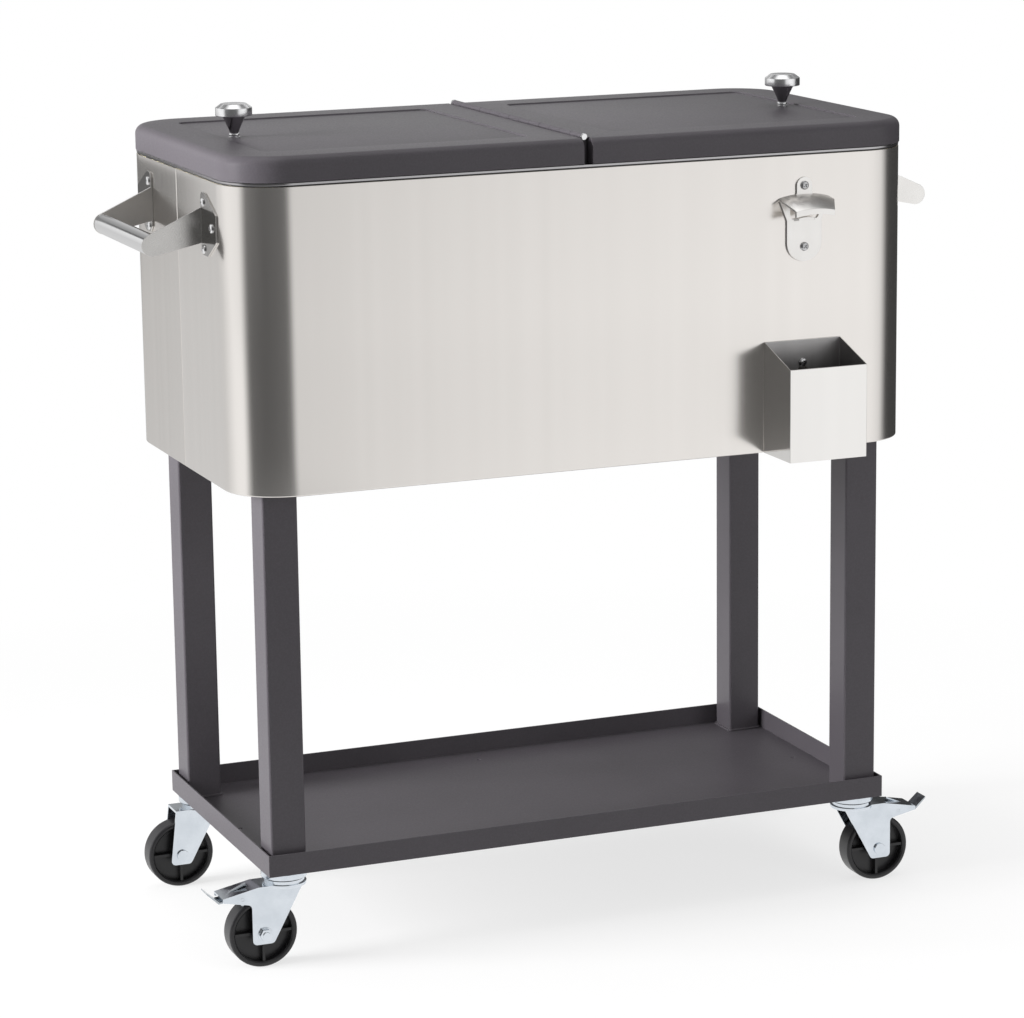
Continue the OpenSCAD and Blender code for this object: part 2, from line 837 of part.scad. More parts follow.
// The opener's back plate, upright round its lower screw
module opener_plate_2d() {
    hood_root = hood_root_rise - hood_t;
    hood_half = hood_root_w / 2;
    difference() {
        union() {
            translate([0, opener_foot_drop]) circle(opener_foot_r);
            polygon(rounded_outline([
                [-opener_foot_r, opener_foot_drop, 0], [opener_foot_r, opener_foot_drop, 0],
                [opener_foot_r, shoulder_rise, shoulder_fillet], [hood_half, wing_top_rise, 0],
                [tab_w / 2, hood_root, tab_fillet], [tab_w / 2, opener_pitch, 0],
                [-tab_w / 2, opener_pitch, 0], [-tab_w / 2, hood_root, tab_fillet],
                [-hood_half, wing_top_rise, 0], [-opener_foot_r, shoulder_rise, shoulder_fillet]
            ]));
            translate([0, opener_pitch]) circle(tab_w / 2);
        }
        difference() {
            translate([0, window_low_rise + window_h / 2])
                rounded_rect_2d(window_w, window_h, window_corner_r);
            tooth_arch_2d();
        }
    }
}

// The crown of the plate below the window
module tooth_arch_2d() {
    translate([0, window_low_rise + opener_t - tooth_arch_r]) circle(tooth_arch_r);
}

// The tooth that holds a cap's rim: the plate's crown turned out under the hood
module opener_tooth() {
    intersection() {
        translate([0, 0, window_low_rise - tooth_reach]) linear_extrude(2 * tooth_reach) polygon([
            [-tooth_w / 2, 0], [tooth_w / 2, 0], [tooth_tip_w / 2, -tooth_reach],
            [-tooth_tip_w / 2, -tooth_reach]
        ]);
        rotate([90, 0, 0]) linear_extrude(tooth_reach + overrun) difference() {
            tooth_arch_2d();
            translate([0, -opener_t]) tooth_arch_2d();
        }
    }
}

// The hood: an arched roof that falls to its front lip, turned about an axis square to the
// tank and cut to its plan
module opener_hood() {
    half_angle = asin((hood_w / 2 + overrun) / (hood_arch_r - hood_fall - hood_lip_h));
    intersection() {
        translate([0, 0, hood_root_rise - hood_arch_r]) rotate([90, 0, 0])
            rotate([0, 0, 90 - half_angle]) rotate_extrude(angle = 2 * half_angle)
                translate([hood_arch_r, 0]) polygon([
                    [-hood_t, 0], [0, 0], [-hood_knee_fall, hood_knee_reach],
                    [-hood_fall, hood_reach - hood_t], [-hood_fall - hood_t, hood_reach],
                    [-hood_fall - hood_lip_h, hood_reach],
                    [-hood_fall - hood_lip_h, hood_reach - hood_t],
                    [-hood_fall - hood_t, hood_reach - hood_t],
                    [-hood_knee_fall - hood_t, hood_knee_reach]
                ]);
        linear_extrude(2 * opener_pitch) polygon([
            [-hood_root_w / 2, overrun], [hood_root_w / 2, overrun],
            [hood_w / 2, -hood_wing_reach], [hood_front_w / 2, -hood_reach - overrun],
            [-hood_front_w / 2, -hood_reach - overrun], [-hood_w / 2, -hood_wing_reach]
        ]);
    }
}

module bottle_opener() {
    color(stainless) placed() translate([opener_x, -tank_w / 2, opener_z]) {
        difference() {
            rotate([90, 0, 0]) linear_extrude(opener_t) opener_plate_2d();
            for (z = [0, opener_pitch])
                translate([0, overrun, z]) rotate([90, 0, 0])
                    cylinder(h = opener_t + 2 * overrun, d = screw_d);
        }
        opener_hood();
        opener_tooth();
    }
}

// The catcher's side outline, from its back towards the front
module catcher_profile_2d(inset, rise) {
    depth = catcher_reach - catcher_back_gap;
    polygon([
        [inset, inset], [inset, catcher_h + rise], [depth - inset, catcher_front_h + rise],
        [depth - inset, inset]
    ]);
}

module cap_catcher() {
    screw_rise = catcher_screw_z - tank_z;
    neck_d = screw_d + keyhole_gap;
    head_hole_d = screw_head_d + keyhole_gap;
    color(stainless) placed()
        translate([catcher_x, -tank_w / 2 - catcher_back_gap, tank_z]) difference() {
            translate([-catcher_w / 2, 0, 0]) rotate([90, 0, 90]) mirror([1, 0, 0])
                linear_extrude(catcher_w) catcher_profile_2d(0, 0);
            translate([-catcher_w / 2 + catcher_t, 0, 0]) rotate([90, 0, 90]) mirror([1, 0, 0])
                linear_extrude(catcher_w - 2 * catcher_t)
                    catcher_profile_2d(catcher_t, catcher_h);
            translate([0, overrun, screw_rise]) rotate([90, 0, 0]) {
                cylinder(h = catcher_t + 2 * overrun, d = neck_d);
                translate([-neck_d / 2, -catcher_lift, 0])
                    cube([neck_d, catcher_lift, catcher_t + 2 * overrun]);
                translate([0, -catcher_lift, 0])
                    cylinder(h = catcher_t + 2 * overrun, d = head_hole_d);
            }
        }
}

module leg(side, way) {
    foot_w = leg_w + 2 * foot_margin;
    color(powder_coat) placed() translate([side * leg_x, way * leg_y, shelf_top]) difference() {
        union() {
            linear_extrude(leg_l) rounded_rect_2d(leg_w, leg_w, leg_corner_r);
            linear_extrude(foot_h) rounded_rect_2d(foot_w, foot_w, leg_corner_r + foot_margin);
        }
        translate([0, 0, leg_plate_t]) linear_extrude(leg_l - 2 * leg_plate_t)
            rounded_rect_2d(leg_w - 2 * leg_wall, leg_w - 2 * leg_wall, leg_corner_r - leg_wall);
        translate([0, 0, -overrun]) cylinder(h = leg_plate_t + 2 * overrun, d = kingpin_d);
        translate([0, 0, leg_l - leg_plate_t - overrun])
            cylinder(h = leg_plate_t + 2 * overrun, d = leg_bolt_d);
    }
}

module leg_bolts() {
    color(zinc) placed() at_legs() {
        nut_z = panel_z - leg_plate_t - leg_nut_h;
        translate([0, 0, nut_z - leg_bolt_end])
            cylinder(h = leg_bolt_end + leg_nut_h + leg_plate_t + bottom_t, d = leg_bolt_d);
        translate([0, 0, nut_z]) cylinder(h = leg_nut_h, d = leg_bolt_head_d, $fn = 6);
        translate([0, 0, panel_z + bottom_t])
            cylinder(h = leg_bolt_head_h, d = leg_bolt_head_d, $fn = 6);
    }
}

module shelf_tray() {
    color(powder_coat) placed() difference() {
        translate([-shelf_l / 2, -shelf_w / 2, shelf_z]) cube([shelf_l, shelf_w, shelf_lip_h]);
        translate([-shelf_l / 2 + shelf_t, -shelf_w / 2 + shelf_t, shelf_top])
            cube([shelf_l - 2 * shelf_t, shelf_w - 2 * shelf_t, shelf_lip_h]);
        at_legs() translate([0, 0, shelf_z - overrun])
            cylinder(h = shelf_t + 2 * overrun, d = kingpin_d);
        for (p = [[leg_x, 0], [-leg_x, 0], [0, shelf_w / 2 - shelf_hole_inset],
            [0, shelf_hole_inset - shelf_w / 2]])
            translate([p[0], p[1], shelf_z - overrun])
                cylinder(h = shelf_t + 2 * overrun, d = shelf_hole_d);
    }
}

// Places a caster: its swivel axis under a leg, its wheel towards the cart's nearer end
module at_caster(side, way) {
    placed() translate([side * leg_x, way * leg_y, 0]) mirror([side < 0 ? 1 : 0, 0, 0])
        children();
}

module caster_mount(side, way) {
    color(zinc) at_caster(side, way) {
        translate([0, 0, fork_z - kingpin_head_h])
            cylinder(h = kingpin_head_h - rub_gap, d = kingpin_head_d);
        translate([0, 0, fork_z - kingpin_head_h])
            cylinder(
                h = kingpin_head_h + shelf_top - fork_z + leg_plate_t + stem_above, d = kingpin_d
            );
        difference() {
            translate([0, 0, cup_z]) cylinder(h = cup_h, d = cup_d);
            translate([0, 0, cup_z - overrun])
                cylinder(h = cup_h - cup_wall + overrun, d = cup_d - 2 * cup_wall);
        }
        translate([0, 0, cup_z]) cylinder(h = cup_h, d = kingpin_head_d);
    }
}

module caster_nuts() {
    color(zinc) placed() at_legs()
        translate([0, 0, shelf_top + leg_plate_t]) difference() {
            cylinder(h = stem_nut_h, d = stem_nut_d, $fn = 6);
            translate([0, 0, -overrun]) cylinder(h = stem_nut_h + 2 * overrun, d = kingpin_d);
        }
}

// Side sheet of a fork, from the swivel axis towards the axle and the nose
function fork_corners(braked) = concat(
    [
        [-fork_back, race_z, 0],
        [-fork_back + fork_back_chamfer, fork_z, 0],
        [trail - lug_back, axle_z - lug_low, lug_r],
        [trail + lug_front, axle_z - lug_low, lug_r]
    ],
    braked
        ? [
            [trail + lug_front, crotch_z, crotch_r],
            [nose_reach, nose_z, 0],
            [nose_reach, nose_z + nose_h, 0],
            [fork_front, race_z, 0]
        ]
        : [[fork_front, race_z, 0]]
);

// Top sheet of a fork, seen from the side
function fork_top_outline(braked) = concat(
    [[-fork_back, race_z], [-fork_back, fork_z], [fork_front, fork_z]],
    braked
        ? [
            [nose_reach, nose_z + nose_h - fork_t], [nose_reach, nose_z + nose_h],
            [fork_front, race_z]
        ]
        : [[fork_front, race_z]]
);

module upright_sheet(low_y, t) {
    translate([0, low_y + t, 0]) rotate([90, 0, 0]) linear_extrude(t) children();
}

// Height of a braked fork's nose at a distance from the swivel axis
function nose_top(x) =
    race_z + (x - fork_front) * (nose_z + nose_h - race_z) / (nose_reach - fork_front);

// The tongue that stands up out of the slot in a braked fork's nose
module nose_tongue() {
    root_x = nose_slot_back + nose_slot_l + tongue_root;
    root_z = nose_top(root_x);
    tip_x = nose_slot_back + tongue_gap;
    tip_z = nose_top(tip_x) + tongue_rise;
    upright_sheet(-tongue_w / 2, tongue_w) polygon([
        [root_x, root_z - tongue_sink], [root_x, root_z - fork_t + tongue_sink],
        [tip_x, tip_z - tongue_t], [tip_x, tip_z]
    ]);
}

module fork(side, way, braked) {
    color(zinc) at_caster(side, way) {
        if (braked) nose_tongue();
        difference() {
            union() {
                for (y = [-fork_w / 2, fork_gap / 2])
                    upright_sheet(y, fork_t) polygon(rounded_outline(fork_corners(braked)));
                upright_sheet(-fork_w / 2, fork_w) polygon(fork_top_outline(braked));
                translate([0, 0, fork_z]) cylinder(h = fork_top_t, d = race_d);
                translate([0, 0, race_z]) cylinder(h = race_h, d = race_d - 2 * cup_wall);
            }
            translate([0, 0, fork_z - overrun])
                cylinder(h = race_h + fork_top_t + 2 * overrun, d = kingpin_d + 2 * fit);
            translate([trail, fork_w, axle_z]) rotate([90, 0, 0]) cylinder(h = 2 * fork_w, d = axle_d);
            translate([0, 0, race_z + fork_t]) cylinder(h = race_h, d = kingpin_head_d + 2 * cup_wall);
            if (braked) {
                translate([pedal_pin_x, fork_w, pedal_pin_z]) rotate([90, 0, 0])
                    cylinder(h = 2 * fork_w, d = pedal_pin_d);
                translate([nose_slot_back, -nose_slot_w / 2, nose_z])
                    cube([nose_slot_l, nose_slot_w, fork_z]);
            }
        }
    }
}

// The axle, its nut facing the way that nut_way gives, with the brake pedal's pin beside it in a
// braked fork
module axle(side, way, braked, nut_way) {
    nut_at = fork_w + axle_washer_h;
    color(zinc) at_caster(side, way) {
        mirror([0, nut_way == front ? 0 : 1, 0])
            translate([trail, fork_w / 2, axle_z]) rotate([90, 0, 0]) {
                translate([0, 0, -axle_head_h]) cylinder(h = axle_head_h, d = axle_head_d);
                cylinder(h = nut_at + axle_nut_h + axle_end, d = axle_d);
                translate([0, 0, fork_w]) cylinder(h = axle_washer_h, d = axle_washer_d);
                translate([0, 0, nut_at]) cylinder(h = axle_nut_h, d = axle_nut_d, $fn = 6);
            }
        if (braked)
            translate([pedal_pin_x, fork_w / 2, pedal_pin_z]) rotate([90, 0, 0])
                cylinder(h = fork_w, d = pedal_pin_d);
    }
}

// The recess in a wheel's face, round the hub and between the spokes
module wheel_recess() {
    depth = (wheel_w - wheel_web_t) / 2;
    face_d = wheel_d - 2 * wheel_rim_t;
    bevel_h = wheel_bevel + overrun;
    difference() {
        union() {
            cylinder(h = depth + overrun, d = face_d);
            translate([0, 0, depth - wheel_bevel])
                cylinder(h = bevel_h, d1 = face_d, d2 = face_d + 2 * bevel_h);
        }
        translate([0, 0, -overrun]) cylinder(h = depth + 3 * overrun, d = hub_d);
        for (i = [0:spoke_count / 2 - 1])
            rotate([0, 0, i * 360 / spoke_count]) translate([-wheel_d / 2, -spoke_w / 2, -overrun])
                cube([wheel_d, spoke_w, depth + overrun - spoke_inset]);
    }
}

module wheel(side, way) {
    color(black_plastic) at_caster(side, way)
        translate([trail, wheel_w / 2, axle_z]) rotate([90, 0, 0]) difference() {
            union() {
                rotate_extrude() {
                    translate([0, wheel_edge_r]) square([wheel_d / 2, wheel_w - 2 * wheel_edge_r]);
                    square([wheel_d / 2 - wheel_edge_r, wheel_w]);
                    for (z = [wheel_edge_r, wheel_w - wheel_edge_r])
                        translate([wheel_d / 2 - wheel_edge_r, z]) circle(wheel_edge_r);
                }
                translate([0, 0, (wheel_w - hub_w) / 2]) cylinder(h = hub_w, d = hub_d);
            }
            for (face = [0, 1])
                translate([0, 0, wheel_w / 2]) mirror([0, 0, face])
                    translate([0, 0, wheel_web_t / 2]) wheel_recess();
            translate([0, 0, -wheel_w]) cylinder(h = 3 * wheel_w, d = wheel_bore_d);
        }
}

// The pedal turns on its pin and its cam comes down to the wheel as the tip is pressed
module brake_pedal(side) {
    pin = [pedal_pin_x, pedal_pin_z];
    axle_at = [trail, axle_z];
    aim = axle_at - pin;
    cam_angle = atan2(aim[1], aim[0]) + pedal_press;
    cam_reach = norm(aim) - wheel_d / 2 - brake_gap - cam_tip_r;
    cam_tip = pin + cam_reach * [cos(cam_angle), sin(cam_angle)];
    color(zinc) at_caster(side, front) difference() {
        union() {
            upright_sheet(-fork_gap / 2 + rub_gap, fork_gap - 2 * rub_gap)
                translate(pin) circle(d = pedal_boss_d);
            upright_sheet(-pedal_w / 2, pedal_w) {
                polygon([
                    [pin[0], pin[1] - pedal_t], [pedal_bend_x, pedal_bend_z - pedal_t / 2],
                    [pedal_reach, pedal_tip_z - pedal_t], [pedal_reach, pedal_tip_z],
                    [pedal_bend_x - pedal_t / 2, pedal_bend_z + pedal_t / 2], [pin[0], pin[1]]
                ]);
                translate(cam_tip) circle(cam_tip_r);
                polygon([
                    [pin[0] - cam_tip_r, pin[1]], cam_tip + [-cam_tip_r, 0],
                    cam_tip + [cam_tip_r, 0], [pin[0] + cam_tip_r, pin[1]]
                ]);
            }
        }
        translate([pin[0], fork_w, pin[1]]) rotate([90, 0, 0])
            cylinder(h = 2 * fork_w, d = pedal_pin_d + 2 * fit);
    }
}

module drain_fitting() {
    color(bright_steel) placed() translate([drain_x, 0, 0]) difference() {
        union() {
            translate([0, 0, liner_floor_z]) cylinder(h = drain_flange_h, d = drain_flange_d);
            translate([0, 0, tank_z - drain_drop])
                cylinder(h = drain_drop + floor_w, d = drain_d);
        }
        translate([0, 0, tank_z - drain_drop - overrun])
            cylinder(h = drain_drop + floor_w + 2 * overrun + drain_flange_h, d = drain_bore);
    }
}

module drain_nut() {
    color(bright_steel) placed() translate([drain_x, 0, panel_z - drain_nut_h]) difference() {
        cylinder(h = drain_nut_h, d = drain_nut_d, $fn = 6);
        translate([0, 0, -overrun]) cylinder(h = drain_nut_h + 2 * overrun, d = drain_d);
    }
}

module drain_cap() {
    low = tank_z - drain_drop - drain_seal_gap - drain_cap_wall;
    color(black_plastic) placed() translate([drain_x, 0, low]) difference() {
        cylinder(h = drain_cap_h, d = drain_d + 2 * drain_cap_wall);
        translate([0, 0, drain_cap_wall]) cylinder(h = drain_cap_h, d = drain_d + 2 * fit);
    }
}

half_shell(front);  // front_shell
half_shell(rear);  // rear_shell
bottom_panel();
foam_insulation();
inner_liner();
rim_trim();
center_bar();
hinge_rod();
bottle_opener();
front_screws();
handle_bar(left);  // left_handle_bar
handle_bar(right);  // right_handle_bar
bracket(left, front);  // left_front_bracket
bracket(left, rear);  // left_rear_bracket
bracket(right, front);  // right_front_bracket
bracket(right, rear);  // right_rear_bracket
handle_screws();
leg(left, front);  // left_front_leg
leg(left, rear);  // left_rear_leg
leg(right, front);  // right_front_leg
leg(right, rear);  // right_rear_leg
leg_bolts();
shelf_tray();
drain_fitting();
drain_nut();
caster_mount(left, front);  // left_front_caster_mount
caster_mount(left, rear);  // left_rear_caster_mount
caster_mount(right, front);  // right_front_caster_mount
caster_mount(right, rear);  // right_rear_caster_mount
caster_nuts();
color(powder_coat) on_side(left) lid_panel();  // left_lid_panel
color(powder_coat) on_side(right) lid_panel();  // right_lid_panel
color(liner_grey) on_side(left) lid_liner();  // left_lid_liner
color(liner_grey) on_side(right) lid_liner();  // right_lid_liner
color(insulation) on_side(left) lid_foam();  // left_lid_foam
color(insulation) on_side(right) lid_foam();  // right_lid_foam
color(powder_coat) on_side(left) hinge_leaf(own_left);  // left_hinge_leaf
color(powder_coat) on_side(right) hinge_leaf(own_right);  // right_hinge_leaf
color(bright_steel) on_side(left) knob_cap();  // left_knob_cap
color(bright_steel) on_side(right) knob_cap();  // right_knob_cap
color(powder_coat) on_side(left) knob_stem();  // left_knob_stem
color(powder_coat) on_side(right) knob_stem();  // right_knob_stem
color(zinc) on_side(left) knob_screw();  // left_knob_screw
color(zinc) on_side(right) knob_screw();  // right_knob_screw
cap_catcher();
drain_cap();
fork(left, front, true);  // left_front_fork
fork(left, rear, false);  // left_rear_fork
fork(right, front, true);  // right_front_fork
fork(right, rear, false);  // right_rear_fork
wheel(left, front);  // left_front_wheel
wheel(left, rear);  // left_rear_wheel
wheel(right, front);  // right_front_wheel
wheel(right, rear);  // right_rear_wheel
axle(left, front, true, front);  // left_front_axle
axle(left, rear, false, rear);  // left_rear_axle
axle(right, front, true, rear);  // right_front_axle
axle(right, rear, false, rear);  // right_rear_axle
brake_pedal(left);  // left_brake_pedal
brake_pedal(right);  // right_brake_pedal
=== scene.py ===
"""Looks of a rolling cooler cart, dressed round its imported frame.

Everything is in metres, in the frame's own axes: +X to the cart's right end, -Y to its front and +Z up.
"""

import json
import logging
import math
from collections.abc import Callable
from dataclasses import dataclass
from enum import Enum
from functools import cache

import bmesh
import bpy
from mathutils import Matrix, Vector

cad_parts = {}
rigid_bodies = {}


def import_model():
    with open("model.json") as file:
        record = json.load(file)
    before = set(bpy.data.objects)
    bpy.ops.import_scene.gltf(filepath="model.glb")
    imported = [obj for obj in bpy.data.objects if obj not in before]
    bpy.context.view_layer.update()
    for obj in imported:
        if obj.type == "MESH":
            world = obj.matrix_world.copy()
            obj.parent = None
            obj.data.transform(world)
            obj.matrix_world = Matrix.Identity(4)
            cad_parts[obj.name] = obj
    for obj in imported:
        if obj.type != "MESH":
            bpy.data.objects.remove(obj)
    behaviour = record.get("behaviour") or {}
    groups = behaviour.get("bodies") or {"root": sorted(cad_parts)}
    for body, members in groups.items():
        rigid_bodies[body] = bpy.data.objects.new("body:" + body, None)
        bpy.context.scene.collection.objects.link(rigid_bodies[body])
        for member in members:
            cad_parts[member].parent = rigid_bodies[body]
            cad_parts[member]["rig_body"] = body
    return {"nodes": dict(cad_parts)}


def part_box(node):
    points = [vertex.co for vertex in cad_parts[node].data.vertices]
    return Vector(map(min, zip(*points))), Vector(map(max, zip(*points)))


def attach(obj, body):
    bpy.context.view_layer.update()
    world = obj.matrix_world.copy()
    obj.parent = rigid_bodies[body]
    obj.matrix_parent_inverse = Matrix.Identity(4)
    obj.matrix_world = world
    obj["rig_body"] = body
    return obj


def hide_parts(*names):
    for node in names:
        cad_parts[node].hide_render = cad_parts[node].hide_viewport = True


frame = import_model()
log = logging.getLogger("cooler_cart")

MM = 0.001
CART = "cart"
# Angles in degrees: past SHARP an edge stays sharp, and within LEVEL two faces become one.
SHARP = 32.0
LEVEL = 0.6
WELD = 2e-6
MERGE = 1e-6
FLAT_WEIGHT = 80
MID_NOISE = (0.35, 0.65)
WIDE_NOISE = (0.3, 0.7)
Place = tuple[float, float, float]
Colour = tuple[float, float, float]
Profile = list[tuple[float, float]]
Form = bmesh.types.BMesh
Mesh = bpy.types.Mesh
Piece = bpy.types.Object
Socket = bpy.types.NodeSocket
Tree = bpy.types.NodeTree
SOCKET_KINDS = {float: "Float", int: "Int", tuple: "Vector"}


class End(Enum):
    """One of two opposite sides of the cart, by the sign of an axis."""

    @property
    def word(self) -> str:
        """The side's name as the nodes and bodies spell it."""
        return self.name.lower()


class Side(End):
    """The cart's two ends, by the sign of X."""

    LEFT = -1
    RIGHT = 1


class Way(End):
    """The cart's front and back, by the sign of Y."""

    FRONT = -1
    REAR = 1


class Grain(Enum):
    """Which way the lines of a worked metal run: how many cross a metre along X, Y and Z."""

    UPRIGHT = (2400.0, 2400.0, 9.0)
    LENGTHWAYS = (9.0, 2400.0, 2400.0)
    CROSSWAYS = (2400.0, 9.0, 2400.0)
    TURNED = (40.0, 40.0, 3000.0)


class Wiring:
    """A short way to add nodes to a tree and to join them."""

    def __init__(self, tree: Tree) -> None:
        """Keeps the tree that the nodes go into."""
        self.tree = tree

    def add(self, kind: str, inputs: dict | None = None, **settings) -> bpy.types.Node:
        """Adds a node.

        Args:
            kind: The node's type, such as ShaderNodeBump.
            inputs: A value, or another node's output, for each named or numbered input.
            **settings: The node's own properties.

        Returns:
            The new node.
        """
        node = self.tree.nodes.new(kind)
        for name, value in settings.items():
            setattr(node, name, value)
        for name, value in (inputs or {}).items():
            self.put(node.inputs[name], value)
        return node

    def put(self, socket: Socket, value: object) -> None:
        """Joins an output to the socket, or sets the socket's own value.

        Args:
            socket: The input that is fed.
            value: Another node's output, or a plain value.
        """
        if isinstance(value, Socket):
            self.tree.links.new(value, socket)
        else:
            socket.default_value = value

    def maths(self, operation: str, *values: object) -> Socket:
        """The result of one Math node on the values."""
        return self.add("ShaderNodeMath", dict(enumerate(values)), operation=operation).outputs[0]

    def vectors(self, operation: str, output: str, inputs: dict) -> Socket:
        """The named output of one Vector Math node."""
        return self.add("ShaderNodeVectorMath", inputs, operation=operation).outputs[output]

    def spread(self, value: Socket, low: float, high: float, to_low: float, to_high: float) -> Socket:
        """The value carried from the range low..high to the range to_low..to_high, and kept in it."""
        inputs = {"Value": value, "From Min": low, "From Max": high, "To Min": to_low, "To Max": to_high}
        return self.add("ShaderNodeMapRange", inputs).outputs["Result"]

    def place(self, space: str = "Object") -> Socket:
        """The point's place on the object, or the way to it from a world's middle."""
        return self.add("ShaderNodeTexCoord").outputs[space]

    def noise(self, place: Socket, scale: Socket | float, detail: float, rough: float = 0.5) -> Socket:
        """Soft noise from 0 to 1."""
        inputs = {"Vector": place, "Scale": scale, "Detail": detail, "Roughness": rough}
        return self.add("ShaderNodeTexNoise", inputs).outputs["Fac"]

    def tint(self, share: Socket, first: Colour | Socket, last: Colour | Socket) -> Socket:
        """A colour between first and last, by the share.

        Args:
            share: 0 for the first colour and 1 for the last.
            first: The first colour, or an output that gives it.
            last: The last colour, or an output that gives it.

        Returns:
            The colour between them.
        """
        node = self.add("ShaderNodeMix", {"Factor": share}, data_type="RGBA")
        colour_inputs = [socket for socket in node.inputs if socket.type == "RGBA"]
        for socket, colour in zip(colour_inputs, (first, last)):
            self.put(socket, colour if isinstance(colour, Socket) else (*colour, 1.0))
        return next(socket for socket in node.outputs if socket.type == "RGBA")


def effect(name: str, inputs: dict[str, object], outputs: tuple[str, ...]) -> tuple[Wiring, dict]:
    """Starts a shader node group, or a Geometry Nodes tree if it takes geometry.

    Args:
        name: The group's name.
        inputs: Each named input's first value, or the name of its kind where it has none.
        outputs: The names of its outputs: numbers, or geometry in a Geometry Nodes tree.

    Returns:
        The wiring, and the outputs of its input node and inputs of its output node by name.
    """
    solid = "Geometry" in inputs
    tree = bpy.data.node_groups.new(name, "GeometryNodeTree" if solid else "ShaderNodeTree")
    wiring = Wiring(tree)
    sockets = [(label, "INPUT", value) for label, value in inputs.items()]
    sockets += [(label, "OUTPUT", "Geometry" if solid else 0.0) for label in outputs]
    for label, way, value in sockets:
        kind = value if isinstance(value, str) else SOCKET_KINDS[type(value)]
        socket = tree.interface.new_socket(label, in_out=way, socket_type="NodeSocket" + kind)
        if way == "INPUT" and kind != value:
            socket.default_value = value
    source, target = wiring.add("NodeGroupInput"), wiring.add("NodeGroupOutput")
    return wiring, {label: source.outputs[label] if way == "INPUT" else target.inputs[label]
                    for label, way, _ in sockets}


@cache
def brushed_lines() -> Tree:
    """The group that gives a worked metal its fine lines and the slow change of tone across them.

    Returns:
        The shader node group, built once.
    """
    wiring, ends = effect("brushed_lines", {"Lines Per Metre": (1.0, 1.0, 1.0)}, ("Line", "Tone"))
    band_scale, band_share, line_share = 0.02, 0.6, 0.4
    fine = wiring.vectors("MULTIPLY", "Vector", {0: wiring.place(), 1: ends["Lines Per Metre"]})
    wide = wiring.vectors("SCALE", "Vector", {0: fine, "Scale": band_scale})
    line = wiring.noise(fine, 1.0, detail=3.0)
    part = wiring.maths("MULTIPLY", line, line_share)
    wiring.put(ends["Line"], line)
    bands = wiring.noise(wide, 1.0, detail=1.0)
    wiring.put(ends["Tone"], wiring.maths("MULTIPLY_ADD", bands, band_share, part))
    return wiring.tree


@cache
def fine_grain() -> Tree:
    """The group that gives a coat, casting or moulding its fine pebbled surface and its clouds.

    Returns:
        The shader node group, built once.
    """
    inputs = {"Grains Per Metre": 900.0, "Clouds Per Metre": 8.0}
    wiring, ends = effect("fine_grain", inputs, ("Height", "Cloud"))
    place, pit_share = wiring.place(), 0.45
    grains = wiring.noise(place, ends["Grains Per Metre"], detail=2.0, rough=0.65)
    pits = wiring.add("ShaderNodeTexVoronoi", {"Vector": place, "Scale": ends["Grains Per Metre"]})
    wiring.put(ends["Height"], wiring.maths("MULTIPLY_ADD", pits.outputs["Distance"], pit_share, grains))
    clouds = wiring.noise(place, ends["Clouds Per Metre"], detail=4.0, rough=0.55)
    wiring.put(ends["Cloud"], clouds)
    return wiring.tree


@cache
def worn_edges() -> Tree:
    """The group that finds a piece's edges, where handling thins a coat and polishes a metal.

    Returns:
        The shader node group, built once.
    """
    wiring, ends = effect("worn_edges", {"Width": 0.001, "Strength": 1.0}, ("Mask",))
    rounded = wiring.add("ShaderNodeBevel", {"Radius": ends["Width"]}, samples=4).outputs[0]
    facing = wiring.add("ShaderNodeNewGeometry").outputs["Normal"]
    turn = wiring.vectors("DOT_PRODUCT", "Value", {0: rounded, 1: facing})
    flat_turn, edge_turn, patches_per_metre, least = 0.985, 0.85, 70.0, 0.3
    edge = wiring.spread(turn, flat_turn, edge_turn, 0.0, 1.0)
    patches = wiring.noise(wiring.place(), patches_per_metre, detail=3.0)
    broken = wiring.spread(patches, *MID_NOISE, least, 1.0)
    worn = wiring.maths("MULTIPLY", edge, broken)
    wiring.put(ends["Mask"], wiring.maths("MULTIPLY", worn, ends["Strength"]))
    return wiring.tree


@dataclass(frozen=True)
class Finish:
    """What every finish has: the record's slot, its colours from dark to light, and its roughness."""

    name: str
    slot: str
    dark: Colour
    light: Colour
    smooth: float
    rough: float

    @cache
    def material(self) -> bpy.types.Material:
        """The finish's material, with its nodes.

        Returns:
            The material, made once.
        """
        material = bpy.data.materials.new(self.name)
        material.use_nodes = True
        self.wire(Wiring(material.node_tree), material.node_tree.nodes["Principled BSDF"])
        return material

    def wire(self, wiring: Wiring, shader: bpy.types.Node) -> None:
        """Joins the finish's nodes to its shader."""
        raise NotImplementedError

    def surface(self, wiring: Wiring, shader: bpy.types.Node, colour: Socket, dull: Socket,
                relief: tuple[Socket, float, float]) -> None:
        """Joins what changes over the surface to the shader.

        Args:
            wiring: The material's wiring.
            shader: Its shader.
            colour: The colour.
            dull: A share from 0 to 1 between the smoothest and the roughest.
            relief: The small relief's height, strength and distance.
        """
        bump = wiring.add("ShaderNodeBump", dict(zip(("Height", "Strength", "Distance"), relief)))
        roughness = wiring.spread(dull, 0.0, 1.0, self.smooth, self.rough)
        wiring.put(shader.inputs["Base Color"], colour)
        wiring.put(shader.inputs["Roughness"], roughness)
        wiring.put(shader.inputs["Normal"], bump.outputs[0])

    @staticmethod
    def use(wiring: Wiring, group: Tree, **values: object) -> bpy.types.NodeOutputs:
        """Places a shared effect in a material, with its own values.

        Args:
            wiring: The material's wiring.
            group: The effect's node group.
            **values: Values for its inputs, by name.

        Returns:
            The effect's outputs.
        """
        node = wiring.add("ShaderNodeGroup", node_tree=group)
        for label, value in values.items():
            wiring.put(node.inputs[label.replace("_", " ").title()], value)
        return node.outputs


